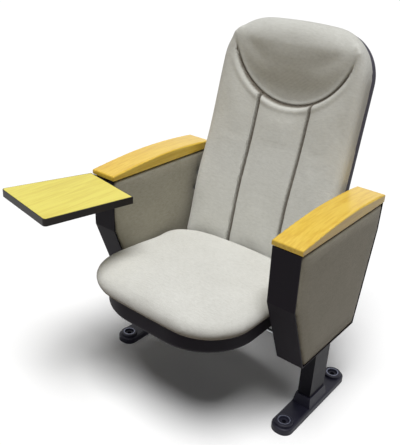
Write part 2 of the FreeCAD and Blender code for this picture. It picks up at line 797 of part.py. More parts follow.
def tablet_pivot():
    """The pin on which the bar swings, its spacer, and the pin on which the bar rests."""
    y, z = TABLET_PIN
    shank = cylinder("tablet_pivot_shank", "x", (bar_far, y, z), TABLET_PIN_RADIUS, -plate_outer - bar_far)
    at = (bar_far - PIN_HEAD_HEIGHT, y, z)
    head = cylinder("tablet_pivot_head", "x", at, TABLET_PIN_HEAD, PIN_HEAD_HEIGHT)
    keep(fuse("tablet_pivot_pin", (shank, head)))
    length = -plate_outer - bar_near
    ring = cylinder("tablet_spacer_ring", "x", (bar_near, y, z), SPACER_RING, length)
    bore = cylinder("tablet_spacer_bore", "x", (bar_near, y, z), TABLET_PIN_RADIUS, length)
    keep(cut("tablet_spacer", ring, [bore]))
    y, z = STOP_PIN
    keep(cylinder("tablet_stop_pin", "x", (bar_far, y, z), STOP_PIN_RADIUS, -plate_outer - bar_far))


# Tip-up seat

SEAM_ROLL = 17
SEAT_BLANK = 120
BOARD_INSET = 20
PAN_EDGE = 16
PAN_CLEARANCE = 11
BRACKET = 5
BRACKET_DROP = 13
BRACKET_LENGTH = 92
BRACKET_BEHIND = 30
BUSH_RADIUS = 10
BUSH_RIM = 2
BUSH_RIM_THICK = 1.5
FLANGE = 45
PIN_FLANGE = 18
PIN_FLANGE_THICK = 4
PIN_FLANGE_GAP = 0.5
BARREL_RADIUS = 12
BARREL_LENGTH = 32
CORE_FIT = 0.6
PEG_REACH = 76
SLEEVE_LENGTH = 34
# Places of the seat screws along the brackets, from the pivot
SEAT_SCREWS = (-50, 18)
SEAT_SCREW = (3, 5.5, 2.5)
SEAT_SCREW_X = 8
SEAT_SCREW_COVER = 2
seat_half = d.seat_width / 2
seat_board_inset = d.pan_inset + BOARD_INSET
bracket_outer = seat_half - d.pan_inset - d.pan_wall - PAN_CLEARANCE


def seat_outline(inset):
    return rectangle(-seat_half + inset, -d.seat_front + inset, seat_half - inset, d.seat_rear - inset)


def front_upright(edge):
    return runs_along("z")(edge) and edge.BoundBox.YMax < -number_of(d.pivot_y)


def rear_upright(edge):
    return runs_along("z")(edge) and edge.BoundBox.YMin > -number_of(d.pivot_y)


def seat_cushion():
    """The cushion: a domed top over a rounded outline, with its edges rolled in above and below."""
    blank = plate("seat_cushion_blank", "XY", d.seat_seam, SEAT_BLANK, seat_outline(0))
    round_edges(blank, d.seat_corner, front_upright)
    round_edges(blank, d.seat_rear_corner, rear_upright)
    dome = doc.addObject("Part::Sphere", "seat_dome")
    bind(dome, "Radius", d.seat_dome)
    place(dome, (0, -d.seat_crown_y, d.seat_crown - d.seat_dome))
    crowned = doc.addObject("Part::Common", "seat_cushion_crowned")
    crowned.Base = blank
    crowned.Tool = dome
    doc.recompute()
    low = flat_at("Z", d.seat_seam)
    rolled = round_solid("seat_cushion_rolled", crowned, d.seat_roll.number, lambda edge: not low(edge))
    keep(round_solid("seat_cushion", rolled, SEAM_ROLL, low))


def round_solid(label, base, radius, wanted):
    """Round the edges of a solid that the test picks, apart from upright ones."""
    rounded = doc.addObject("Part::Fillet", label)
    rounded.Base = base
    edges = enumerate(base.Shape.Edges, start=1)
    rounded.Edges = [(i, radius, radius) for i, edge in edges if wanted(edge) and not upright(edge)]
    doc.recompute()
    return rounded


def upright(edge):
    return edge.BoundBox.XLength < 0.01 and edge.BoundBox.YLength < 0.01


def seat_board():
    outline = seat_outline(seat_board_inset)
    board = plate("seat_board", "XY", d.seat_seam - d.board_thick, d.board_thick, outline)
    round_edges(board, d.pan_corner - BOARD_INSET, front_upright)
    round_edges(board, d.seat_rear_corner - seat_board_inset, rear_upright)
    keep(board)


def seat_pan():
    """The moulded tray under the seat, with a round hole on each side for the pivot pins."""
    pan = new_body("seat_pan")
    add_pad(pan, add_sketch(pan, "XY", d.pan_base, [seat_outline(d.pan_inset)]), d.seat_seam - d.pan_base)
    round_edges(pan, d.pan_corner, front_upright)
    round_edges(pan, d.seat_rear_corner - d.pan_inset, rear_upright)
    round_edges(pan, PAN_EDGE, flat_at("Z", d.pan_base))
    hollow(pan, d.pan_wall, flat_at("Z", d.seat_seam))
    hole = pan.newObject("PartDesign::SubtractiveCylinder", "pan_pivot_hole")
    bind(hole, "Radius", d.pivot_pin + PASSAGE * 2)
    bind(hole, "Height", d.seat_width)
    place(hole, (-seat_half, -d.pivot_y, d.pivot_z), TURN_TO["x"])
    doc.recompute()
    keep(pan)


def seat_bracket(name, side):
    """An angle under the seat board with the bore for the pivot bush."""
    top = d.seat_seam - d.board_thick
    low = d.pivot_z - BRACKET_DROP
    near = side * (bracket_outer - FLANGE)
    far = side * bracket_outer
    wall = side * (bracket_outer - BRACKET)
    under = top - BRACKET
    outline = [(near, top), (far, top), (far, low), (wall, low), (wall, under), (near, under)]
    blank = plate(f"seat_bracket_blank_{name}", "XZ", d.pivot_y - BRACKET_BEHIND, BRACKET_LENGTH, outline)
    bore = pivot_bar(f"bracket_bore_{name}", side, bracket_outer - BRACKET, bracket_outer, BUSH_RADIUS)
    keep(cut(f"seat_bracket_{name}", blank, [bore]))


def pivot_bar(label, side, low, high, radius):
    """A round bar on the seat's pivot axis."""
    return bar_x(label, side, low, high, -d.pivot_y, d.pivot_z, radius)


def seat_pivot(name, side):
    """The fixed pin, its bush in the bracket and the cartridge of the return spring."""
    pin_end = bracket_outer - FLANGE - PASSAGE
    shank = pivot_bar(f"pivot_shank_{name}", side, pin_end, plate_inner, d.pivot_pin)
    far = inner_face - PIN_FLANGE_GAP
    flange = pivot_bar(f"pivot_flange_{name}", side, far - PIN_FLANGE_THICK, far, PIN_FLANGE)
    keep(fuse(f"seat_pivot_pin_{name}", (shank, flange)))
    bush_low = bracket_outer - BRACKET - BUSH_RIM_THICK
    ring = pivot_bar(f"bush_ring_{name}", side, bush_low, bracket_outer, BUSH_RADIUS)
    rim = pivot_bar(f"bush_rim_{name}", side, bush_low, bush_low + BUSH_RIM_THICK, BUSH_RADIUS + BUSH_RIM)
    bush = fuse(f"bush_whole_{name}", (ring, rim))
    bore = pivot_bar(f"bush_bore_{name}", side, bush_low, bracket_outer, d.pivot_pin + d.pivot_fit)
    keep(cut(f"seat_bush_{name}", bush, [bore]))
    far = bush_low - PASSAGE
    near = far - BARREL_LENGTH
    barrel = pivot_bar(f"spring_barrel_{name}", side, near, far, BARREL_RADIUS)
    core = pivot_bar(f"spring_core_{name}", side, near, far, d.pivot_pin + CORE_FIT)
    keep(cut(f"spring_cartridge_{name}", barrel, [core]))


def seat_stops():
    """Pegs below the pan, with rubber sleeves on which the lowered seat rests."""
    pegs = []
    sleeves = []
    near = seat_half - PEG_REACH
    far = near + SLEEVE_LENGTH
    for name, side in SIDES:
        pegs.append(bar_x(f"stop_peg_{name}", side, near, plate_inner, -d.stop_y, stop_z, PEG_RADIUS))
        ring = bar_x(f"stop_ring_{name}", side, near, far, -d.stop_y, stop_z, d.stop_sleeve)
        bore = bar_x(f"stop_bore_{name}", side, near, far, -d.stop_y, stop_z, PEG_RADIUS)
        sleeves.append(cut(f"stop_sleeve_{name}", ring, [bore]))
    keep(group("seat_stop_pegs", pegs))
    keep(group("seat_stop_sleeves", sleeves))


def seat_screws():
    screws = []
    head = d.seat_seam - d.board_thick - BRACKET
    end = d.seat_seam - SEAT_SCREW_COVER
    for name, side in SIDES:
        x = side * (bracket_outer - FLANGE + SEAT_SCREW_X)
        for index, offset in enumerate(SEAT_SCREWS):
            label = f"seat_screw_{name}_{index}"
            screws.append(screw_up(label, x, offset - d.pivot_y, head, end, *SEAT_SCREW))
    keep(group("seat_screws", screws))


# Reclined back. Its pieces are drawn upright, face at Y 0 and lower end at Z 0, and then leaned back.

TOP_BLEND = 1200
WING_REACH = 36
DISH_OVER = 50
HEAD_ROLL_BEHIND = 3
GROOVE_DEEPER = 1
CHANNEL_START = 10
CHANNEL_OVER = 20
BACK_BOARD_INSET = 24
BACK_BOARD_FOOT = 20
SHELL_INSET = 5
SHELL_FOOT = 28
SHELL_EDGE = 26
NOTCH_WIDTH = 20
NOTCH_OUTSIDE = 4
NOTCH_MARGIN = 2
BRACKET_FOOT = 117
BRACKET_HEIGHT = 104
BRACKET_GAP = 3
BRACKET_REACH = 78
BRACKET_FRONT = 13
BOLT_HEAD = 7
BOLT_HEAD_HEIGHT = 2.4
# Heights of a bracket's screws above its foot
BACK_SCREWS = (20, 84)
BACK_SCREW_X = 52
BACK_SCREW_SHANK = 3
BACK_SCREW_LENGTH = 12
BACK_SCREW_HEAD = 6
BACK_SCREW_HEAD_HEIGHT = 3
back_half = d.back_width / 2
back_board_rear = d.back_cushion_thick + d.board_thick
bracket_wall = back_half + BRACKET_GAP
bracket_side = bracket_wall + BRACKET


def lean_back(body):
    place(body, (0, d.back_foot_y, d.back_foot_z), Rotation(Vector(1, 0, 0), -d.back_recline.number))
    body.setExpression("Placement.Rotation.Angle", (-d.back_recline).formula)


def back_outline(inset):
    shoulder = d.back_height - d.back_arch - inset
    return [
        (-back_half + inset, inset),
        (back_half - inset, inset),
        (back_half - d.back_taper - inset, shoulder),
        (0, d.back_height - inset),
        (-back_half + d.back_taper + inset, shoulder),
    ]


def round_back(body, corner):
    """Round an outline's shoulders and its arched top."""
    across = runs_along("y")
    middle = number_of(d.back_height) / 2
    def top_edge(edge, in_middle):
        box = edge.BoundBox
        return across(edge) and box.ZMin > middle and (abs(box.XMax) < 1) == in_middle
    round_edges(body, corner, lambda edge: top_edge(edge, False))
    round_edges(body, TOP_BLEND, lambda edge: top_edge(edge, True))


def round_back_foot(body, corner):
    across = runs_along("y")
    middle = number_of(d.back_height) / 2
    round_edges(body, corner, lambda edge: across(edge) and edge.BoundBox.ZMax < middle)


def back_cushion():
    """The back cushion: hollowed across, with a roll and a groove round the head-rest and two channels."""
    body = new_body("back_cushion")
    sketch = add_sketch(body, "XZ", -d.back_cushion_thick, [back_outline(0)])
    add_pad(body, sketch, d.back_cushion_thick + WING_REACH)
    round_back(body, d.back_corner)
    dish = subtract_round(body, "back_dish_cut", d.back_dish, d.back_height + DISH_OVER * 2)
    place(dish, (0, -d.back_dish, -DISH_OVER))
    doc.recompute()
    foot_level = flat_at("Z", 0)
    round_edges(body, d.back_roll, lambda edge: on_front(edge) and not foot_level(edge))
    round_edges(body, d.back_foot_roll, lambda edge: on_front(edge) and foot_level(edge))
    head_roll(body)
    groove = body.newObject("PartDesign::SubtractiveTorus", "head_groove")
    bind(groove, "Radius1", d.head_radius)
    bind(groove, "Radius2", d.channel_radius + GROOVE_DEEPER)
    lean = Rotation(Vector(1, 0, 0), 90 + d.head_lean.number)
    upward = lean.multVec(Vector(0, 1, 0))
    rise = d.head_radius * upward.z
    place(groove, (0, d.head_radius * upward.y, d.head_low + rise), lean)
    doc.recompute()
    for name, side in SIDES:
        channel = subtract_round(body, f"back_channel_{name}", d.channel_radius, d.head_low + CHANNEL_OVER)
        surface = d.channel_half * d.channel_half / (d.back_dish * 2)
        place(channel, (side * d.channel_half, -surface, -CHANNEL_START))
        doc.recompute()
    lean_back(body)
    keep(body)


def head_roll(body):
    """The roll across the top of the back, which stands ahead of the hollow."""
    roll = body.newObject("PartDesign::AdditiveEllipsoid", "head_roll")
    bind(roll, "Radius1", d.head_roll_height)
    bind(roll, "Radius2", d.head_roll_half)
    bind(roll, "Radius3", d.head_roll_depth)
    place(roll, (0, HEAD_ROLL_BEHIND, d.head_roll_up))
    doc.recompute()


def subtract_round(body, name, radius, height):
    tool = body.newObject("PartDesign::SubtractiveCylinder", name)
    bind(tool, "Radius", radius)
    bind(tool, "Height", height)
    return tool


def on_front(edge):
    """Edges round the hollowed face, which all lie ahead of the cushion's middle."""
    return edge.BoundBox.YMax < 0.5 and not runs_along("y")(edge)


def back_board():
    body = plate("back_board", "XZ", -back_board_rear, d.board_thick, back_outline(BACK_BOARD_INSET))
    round_back(body, d.back_corner - BACK_BOARD_INSET)
    round_back_foot(body, BACK_BOARD_FOOT)
    lean_back(body)
    keep(body)


def back_shell():
    """The moulded shell behind the back, open towards the cushion, with notches for the brackets."""
    body = new_body("back_shell")
    sketch = add_sketch(body, "XZ", -d.back_cushion_thick, [back_outline(SHELL_INSET)])
    add_pad(body, sketch, d.shell_depth, back=True)
    round_back(body, d.back_corner - SHELL_INSET)
    round_back_foot(body, SHELL_FOOT)
    round_edges(body, SHELL_EDGE, flat_at("Y", d.back_cushion_thick + d.shell_depth))
    hollow(body, d.shell_wall, flat_at("Y", d.back_cushion_thick))
    for name, side in SIDES:
        notch = body.newObject("PartDesign::SubtractiveBox", f"shell_notch_{name}")
        bind(notch, "Length", NOTCH_WIDTH)
        bind(notch, "Width", BRACKET + NOTCH_MARGIN * 2)
        bind(notch, "Height", BRACKET_HEIGHT + NOTCH_MARGIN * 2)
        far = back_half + NOTCH_OUTSIDE
        start = lower_x(side, far - NOTCH_WIDTH, far)
        place(notch, (start, back_board_rear - NOTCH_MARGIN, BRACKET_FOOT - NOTCH_MARGIN))
        doc.recompute()
    lean_back(body)
    keep(body)


def back_bracket(name, side):
    """An angle from the arm's frame plate to the back board."""
    near = back_half - BRACKET_REACH
    rear = back_board_rear + BRACKET
    outline = [
        (near, back_board_rear),
        (near, rear),
        (bracket_side, rear),
        (bracket_side, BRACKET_FRONT),
        (bracket_wall, BRACKET_FRONT),
        (bracket_wall, back_board_rear),
    ]
    outline = [(side * x, y) for x, y in outline]
    blank = plate(f"back_bracket_blank_{name}", "XY", BRACKET_FOOT, BRACKET_HEIGHT, outline)
    lean_back(blank)
    holes = []
    for index, (y, z) in enumerate(back_bolts):
        label = f"bracket_hole_{name}_{index}"
        holes.append(bar_x(label, side, bracket_wall, bracket_side, y, z, BOLT_RADIUS))
    keep(cut(f"back_bracket_{name}", blank, holes))


def back_fixings():
    """Spacers through the inner panels, bolts into the frame plates, and screws into the back board."""
    spacers = []
    bolts = []
    screws = []
    for name, side in SIDES:
        for index, (y, z) in enumerate(back_bolts):
            end = f"{name}_{index}"
            tube = bar_x(f"spacer_tube_{end}", side, bracket_side, plate_inner, y, z, SPACER_RADIUS)
            bore = bar_x(f"spacer_bore_{end}", side, bracket_side, plate_inner, y, z, BOLT_RADIUS)
            spacers.append(cut(f"back_spacer_{end}", tube, [bore]))
            shank = bar_x(f"bolt_shank_{end}", side, bracket_wall, plate_outer, y, z, BOLT_RADIUS)
            head_low = bracket_wall - BOLT_HEAD_HEIGHT
            head = bar_x(f"bolt_head_{end}", side, head_low, bracket_wall, y, z, BOLT_HEAD)
            bolts.append(fuse(f"back_bolt_{end}", (shank, head)))
        for index, height in enumerate(BACK_SCREWS):
            screws.append(back_screw(f"back_screw_{name}_{index}", side, BRACKET_FOOT + height))
    keep(group("back_spacers", spacers))
    keep(group("back_bolts", bolts))
    keep(group("back_screws", screws))


def back_screw(label, side, height):
    """A screw from behind through a bracket into the back board."""
    body = new_body(label)
    x = side * (back_half - BACK_SCREW_X)
    rear = back_board_rear + BRACKET
    shank = add_sketch(body, "XZ", -rear, [], [(x, height, BACK_SCREW_SHANK)])
    add_pad(body, shank, BACK_SCREW_LENGTH)
    head = add_sketch(body, "XZ", -rear - BACK_SCREW_HEAD_HEIGHT, [], [(x, height, BACK_SCREW_HEAD)])
    add_pad(body, head, BACK_SCREW_HEAD_HEIGHT)
    lean_back(body)
    return body


def build():
    for name, side in SIDES:
        foot(name, side)
        leg(name, side)
        arm_covers(name, side)
        arm_panels(name, side)
        arm_frame(name, side)
    panel_fixings()
    right_cap()
    left_lid()
    tablet_pieces()
    fold_hinge()
    tablet_arm()
    tablet_pivot()
    seat_cushion()
    seat_board()
    seat_pan()
    for name, side in SIDES:
        seat_bracket(name, side)
        seat_pivot(name, side)
    seat_stops()
    seat_screws()
    back_cushion()
    back_board()
    back_shell()
    for name, side in SIDES:
        back_bracket(name, side)
    back_fixings()
    doc.recompute()


def check_and_write():
    for feature in doc.Objects:
        if "Invalid" in feature.State or "Error" in feature.State:
            raise RuntimeError(f"{feature.Label}: {feature.State}")
    for feature in subparts:
        if feature.Shape.isNull() or not feature.Shape.isValid():
            raise RuntimeError(f"{feature.Label}: no valid shape")
    os.makedirs("parts", exist_ok=True)
    for feature in subparts:
        feature.Shape.exportStep(f"parts/{feature.Label}.step")
        box = feature.Shape.BoundBox
        corners = [round(v, 1) for v in (box.XMin, box.XMax, box.YMin, box.YMax, box.ZMin, box.ZMax)]
        print(feature.Label, len(feature.Shape.Solids), round(feature.Shape.Volume), corners)


build()
check_and_write()
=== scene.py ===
"""Looks of a tip-up lecture-hall chair with a writing tablet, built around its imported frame.

The frame is in metres: the origin lies between the floor bolts, +X is the sitter's left, the chair
faces -Y and +Z is up.
"""

import json
import logging
import math
from dataclasses import dataclass, field
from enum import Enum
from typing import Any

import bpy
import numpy as np
from mathutils import Matrix, Vector
from mathutils.bvhtree import BVHTree

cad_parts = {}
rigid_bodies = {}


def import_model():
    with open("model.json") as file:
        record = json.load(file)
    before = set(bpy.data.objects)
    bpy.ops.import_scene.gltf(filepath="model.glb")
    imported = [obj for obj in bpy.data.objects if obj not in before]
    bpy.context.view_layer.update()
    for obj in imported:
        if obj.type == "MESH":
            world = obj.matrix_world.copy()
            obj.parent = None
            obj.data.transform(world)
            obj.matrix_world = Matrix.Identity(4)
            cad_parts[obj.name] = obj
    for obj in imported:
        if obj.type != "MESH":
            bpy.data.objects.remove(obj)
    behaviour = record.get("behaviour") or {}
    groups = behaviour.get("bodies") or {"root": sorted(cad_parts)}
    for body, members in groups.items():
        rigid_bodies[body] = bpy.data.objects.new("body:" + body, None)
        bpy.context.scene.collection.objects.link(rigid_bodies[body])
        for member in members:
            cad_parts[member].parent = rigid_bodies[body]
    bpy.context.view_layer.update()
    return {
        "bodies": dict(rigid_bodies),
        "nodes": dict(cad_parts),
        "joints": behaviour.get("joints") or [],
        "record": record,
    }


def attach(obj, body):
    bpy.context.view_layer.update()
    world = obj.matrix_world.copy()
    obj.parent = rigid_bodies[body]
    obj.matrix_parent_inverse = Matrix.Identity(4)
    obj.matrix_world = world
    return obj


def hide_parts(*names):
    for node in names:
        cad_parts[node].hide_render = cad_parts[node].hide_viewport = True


log = logging.getLogger("lecture_chair")

MM = 0.001
# Vertices of a solid that lie closer than this are one
WELD = 0.01 * MM
# Keeps a division by a length of zero away
TINY = 1e-9
# Blender's wave texture runs through this many radians in a metre at scale 1
WAVE_RADIANS = 20
# Name of the attribute that says how deep in a sewn line a vertex lies, and so how much painted shade the
# cloth gets there
SEAM_SHADE = "seam"
# Name of the attribute that holds a vertex's place on the laid-out cloth
CLOTH_PLACE = "cloth_place"
# How the simulated covers resist: close-woven cloth on a firm filling
CLOTH_FIRMNESS = {
    "quality": 4,
    "mass": 0.3,
    "tension_stiffness": 15,
    "compression_stiffness": 15,
    "shear_stiffness": 10,
    "bending_stiffness": 8,
}

Colour = tuple[float, float, float, float]
Frame = dict[str, Any]
Tree = bpy.types.NodeTree
Socket = bpy.types.NodeSocket


class Axis(Enum):
    """The axes of the shared frame, by their place in a coordinate."""

    X = 0
    Y = 1
    Z = 2


def linear(code: str) -> Colour:
    """Turn an sRGB colour into a linear one.

    Args:
        code: Six hexadecimal digits, such as "c0ffee".

    Returns:
        Red, green, blue and alpha for a shader's socket.
    """
    channels = []
    for start in (0, 2, 4):
        value = int(code[start:start + 2], 16) / 255
        channels.append(value / 12.92 if value <= 0.04045 else ((value + 0.055) / 1.055) ** 2.4)
    return (channels[0], channels[1], channels[2], 1.0)


def noise_scale(size_mm: float) -> float:
    """Scale of a noise whose blotches are about that many millimetres across."""
    return 1 / (size_mm * MM)


def wave_scale(spacing_mm: float) -> float:
    """Scale of a wave texture whose bands repeat every so many millimetres."""
    return 2 * math.pi / (WAVE_RADIANS * spacing_mm * MM)


def add_node(tree: Tree, kind: str, settings: dict[Any, Any], links: dict[Any, Any]) -> Any:
    """Add one node with its settings and its links.

    Args:
        tree: The material's or world's node tree.
        kind: Blender's name for the node.
        settings: Values by property name, by input name or number, or as the "stops" of a ramp.
        links: Output sockets by the name or number of the input that they go to.

    Returns:
        The new node.
    """
    node = tree.nodes.new(kind)
    for name, value in settings.items():
        if name == "stops":
            ramp = node.color_ramp
            while len(ramp.elements) < len(value):
                ramp.elements.new(1.0)
            for element, (position, colour) in zip(ramp.elements, value):
                element.position = position
                element.color = colour
        elif isinstance(name, str) and hasattr(node, name):
            setattr(node, name, value)
        else:
            node.inputs[name].default_value = value
    for name, socket in links.items():
        tree.links.new(socket, node.inputs[name])
    return node


def calculate(tree: Tree, operation: str, *values: Any) -> Socket:
    """Work something out at each point of a surface.

    Args:
        tree: The node tree.
        operation: Blender's name for the sum.
        values: What goes in, in order: sockets or numbers.

    Returns:
        The result's socket.
    """
    settings: dict[Any, Any] = {"operation": operation}
    links = {}
    for index, value in enumerate(values):
        if isinstance(value, Socket):
            links[index] = value
        else:
            settings[index] = value
    return add_node(tree, "ShaderNodeMath", settings, links).outputs[0]


def add_noise(tree: Tree, place: Socket, size_mm: float, detail: float, roughness: float = 0.5,
              distortion: float = 0.0) -> Socket:
    """Lay a noise over a surface.

    Args:
        tree: The node tree.
        place: The coordinates it reads.
        size_mm: How large its blotches are.
        detail: How many finer layers it has.
        roughness: How strong those are.
        distortion: How far it is drawn out of shape.

    Returns:
        The socket of its value, from 0 to 1.
    """
    return add_node(tree, "ShaderNodeTexNoise", {
        "Scale": noise_scale(size_mm), "Detail": detail, "Roughness": roughness,
        "Distortion": distortion}, {"Vector": place}).outputs["Fac"]


def stretched(tree: Tree, place: Socket, scale: tuple[float, float, float]) -> Socket:
    """Coordinates on which a pattern is drawn out along the axes with a small scale."""
    return add_node(tree, "ShaderNodeMapping", {"Scale": scale}, {"Vector": place}).outputs[0]


def add_ramp(tree: Tree, value: Socket, *stops: tuple[float, str]) -> Socket:
    """Turn a value into a colour.

    Args:
        tree: The node tree.
        value: What varies over the surface.
        stops: Values from 0 to 1, each with the sRGB colour it gets.

    Returns:
        The colour's socket.
    """
    colours = [(position, linear(code)) for position, code in stops]
    return add_node(tree, "ShaderNodeValToRGB", {"stops": colours}, {"Fac": value}).outputs["Color"]


def add_range(tree: Tree, value: Socket, low: float, high: float) -> Socket:
    """Spread a value from 0 to 1 over the range from low to high."""
    spread = add_node(tree, "ShaderNodeMapRange", {"To Min": low, "To Max": high}, {"Value": value})
    return spread.outputs["Result"]


def add_bump(tree: Tree, height: Socket, strength: float, depth_mm: float) -> Socket:
    """Let a value stand up from the surface as fine relief.

    Args:
        tree: The node tree.
        height: What varies over the surface.
        strength: How much of the relief shows, from 0 to 1.
        depth_mm: How high it stands.

    Returns:
        The socket of the surface's direction.
    """
    return add_node(tree, "ShaderNodeBump", {"Strength": strength, "Distance": depth_mm * MM},
                    {"Height": height}).outputs["Normal"]


def new_material(name: str) -> tuple[bpy.types.Material, Tree, Socket]:
    """Start a material.

    Args:
        name: The real material's name.

    Returns:
        The material, its node tree and its Object coordinates.
    """
    material = bpy.data.materials.new(name)
    material.use_nodes = True
    tree = material.node_tree
    tree.nodes.clear()
    coordinates = add_node(tree, "ShaderNodeTexCoord", {}, {})
    return material, tree, coordinates.outputs["Object"]


def finish_material(tree: Tree, settings: dict[str, Any], links: dict[str, Any]) -> None:
    """Close a material with its shader.

    Args:
        tree: The material's node tree.
        settings: What is the same all over the surface.
        links: What varies over the surface.
    """
    shader = add_node(tree, "ShaderNodeBsdfPrincipled", settings, links)
    add_node(tree, "ShaderNodeOutputMaterial", {}, {"Surface": shader.outputs["BSDF"]})


@dataclass(frozen=True)
class WovenUpholstery:
    """Flat-woven polyester upholstery: two thread directions, soft sheen and a slight drift of shade."""

    name: str
    light: str
    dark: str
    warp: Axis
    weft: Axis
    # Threads lie about 0.7 mm apart; they are drawn coarser so that they show in the render.
    thread_mm: float = 2.2
    slub_mm: float = 4.0
    slub_stretch: float = 0.3
    slub_share: float = 0.65
    shade_mm: float = 90.0
    shade_share: float = 0.25
    # Deep in a sewn line the cloth is folded on itself; this darker colour paints in the shade that falls
    # in that crease.
    seam: str = "564c3f"

    def band(self, tree: Tree, place: Socket, axis: Axis) -> Socket:
        """The threads that follow one another along an axis of the cloth.

        Args:
            tree: The material's node tree.
            place: The coordinates on the cloth.
            axis: The axis.

        Returns:
            The socket of their height, from 0 to 1.
        """
        return add_node(tree, "ShaderNodeTexWave", {
            "wave_type": "BANDS", "bands_direction": axis.name, "wave_profile": "SIN",
            "Scale": wave_scale(self.thread_mm), "Distortion": 0.8, "Detail": 1.0,
            "Detail Scale": 2.0}, {"Vector": place}).outputs["Fac"]

    def build(self) -> bpy.types.Material:
        """Make the material.

        Returns:
            The new material.
        """
        material, tree, solid_place = new_material(self.name)
        place = add_node(tree, "ShaderNodeAttribute", {"attribute_name": CLOTH_PLACE}, {}).outputs["Vector"]
        # How deep in a sewn line each point lies, for the painted shade in the crease
        sewn = add_node(tree, "ShaderNodeAttribute", {"attribute_name": SEAM_SHADE}, {}).outputs["Fac"]
        weave = calculate(tree, "MULTIPLY", self.band(tree, place, self.warp),
                          self.band(tree, place, self.weft))
        scale = [1.0, 1.0, 1.0]
        scale[self.warp.value] = self.slub_stretch
        along = stretched(tree, place, tuple(scale))
        slub = add_noise(tree, along, self.slub_mm, detail=3.0, roughness=0.6)
        shade = add_noise(tree, solid_place, self.shade_mm, detail=2.0)
        yarn = calculate(tree, "MULTIPLY_ADD", slub, self.slub_share, weave)
        even = calculate(tree, "MULTIPLY_ADD", shade, self.shade_share, yarn)
        # Painted shade: the tone falls in the sewn lines, down to the seam colour at the ramp's foot
        tone = calculate(tree, "SUBTRACT", even, sewn)
        finish_material(tree, {
            "IOR": 1.45, "Specular IOR Level": 0.25, "Sheen Weight": 0.25, "Sheen Roughness": 0.5}, {
            "Base Color": add_ramp(tree, tone, (0.0, self.seam), (0.3, self.dark), (1.0, self.light)),
            "Roughness": add_range(tree, slub, 0.78, 0.95),
            "Normal": add_bump(tree, yarn, strength=0.4, depth_mm=0.5)})
        return material


@dataclass(frozen=True)
class LacqueredWood:
    """Light wood or a laminate like it: long grain, short darker flecks, and a clear coat on most."""

    name: str
    light: str
    middle: str
    dark: str
    # Grain lines lie about 2 mm apart; they are drawn wider so that they show in the render.
    grain_mm: float = 7.0
    # The figure is that many times as wide as the grain.
    figure_width: float = 7.0
    fleck_mm: float = 2.2
    stretch: float = 0.06
    roughness: float = 0.32
    coat: float = 0.2

    def build(self) -> bpy.types.Material:
        """Make the material.

        Returns:
            The new material.
        """
        material, tree, place = new_material(self.name)
        along = stretched(tree, place, (1.0, self.stretch, 1.0))
        grain = add_noise(tree, along, self.grain_mm, detail=5.0, roughness=0.6, distortion=0.4)
        figure = add_noise(tree, along, self.grain_mm * self.figure_width, detail=2.0)
        fleck = add_noise(tree, along, self.fleck_mm, detail=1.0, roughness=0.4)
        figured = calculate(tree, "MULTIPLY_ADD", figure, 0.55, grain)
        tone = calculate(tree, "MULTIPLY_ADD", fleck, 0.25, figured)
        finish_material(tree, {
            "IOR": 1.5, "Specular IOR Level": 0.3, "Coat Weight": self.coat, "Coat Roughness": 0.15}, {
            "Base Color": add_ramp(tree, tone, (0.55, self.dark), (0.85, self.middle), (1.0, self.light)),
            "Roughness": add_range(tree, grain, self.roughness - 0.06, self.roughness + 0.1),
            "Normal": add_bump(tree, grain, strength=0.12, depth_mm=0.3)})
        return material


@dataclass(frozen=True)
class MouldedPlastic:
    """Injection-moulded plastic: an even colour with a fine spark-eroded grain and faint scuffs."""

    name: str
    base: str
    scuffed: str
    # Mould grain is about 0.3 mm across; it is drawn coarser so that it shows in the render.
    grain_mm: float = 1.6
    scuff_mm: float = 60.0
    roughness: float = 0.5
    relief: float = 0.25
    gloss: float = 0.25

    def build(self) -> bpy.types.Material:
        """Make the material.

        Returns:
            The new material.
        """
        material, tree, place = new_material(self.name)
        grain = add_node(tree, "ShaderNodeTexVoronoi", {
            "feature": "SMOOTH_F1", "Scale": noise_scale(self.grain_mm)}, {"Vector": place})
        scuff = add_noise(tree, place, self.scuff_mm, detail=6.0, roughness=0.7)
        finish_material(tree, {"IOR": 1.49, "Specular IOR Level": self.gloss}, {
            "Base Color": add_ramp(tree, scuff, (0.4, self.base), (0.75, self.scuffed)),
            "Roughness": add_range(tree, scuff, self.roughness - 0.1, self.roughness + 0.12),
            "Normal": add_bump(tree, grain.outputs["Distance"], strength=self.relief, depth_mm=0.25)})
        return material


@dataclass(frozen=True)
class PowderCoat:
    """Powder-coated steel: dark satin paint with the orange-peel skin of a baked coat."""

    name: str
    base: str
    dusty: str
    peel_mm: float = 3.0
    dust_mm: float = 45.0
    roughness: float = 0.42

    def build(self) -> bpy.types.Material:
        """Make the material.

        Returns:
            The new material.
        """
        material, tree, place = new_material(self.name)
        peel = add_noise(tree, place, self.peel_mm, detail=1.0)
        dust = add_noise(tree, place, self.dust_mm, detail=5.0, roughness=0.65)
        finish_material(tree, {"IOR": 1.5, "Specular IOR Level": 0.12}, {
            "Base Color": add_ramp(tree, dust, (0.42, self.base), (0.8, self.dusty)),
            "Roughness": add_range(tree, dust, self.roughness - 0.08, self.roughness + 0.15),
            "Normal": add_bump(tree, peel, strength=0.2, depth_mm=0.4)})
        return material


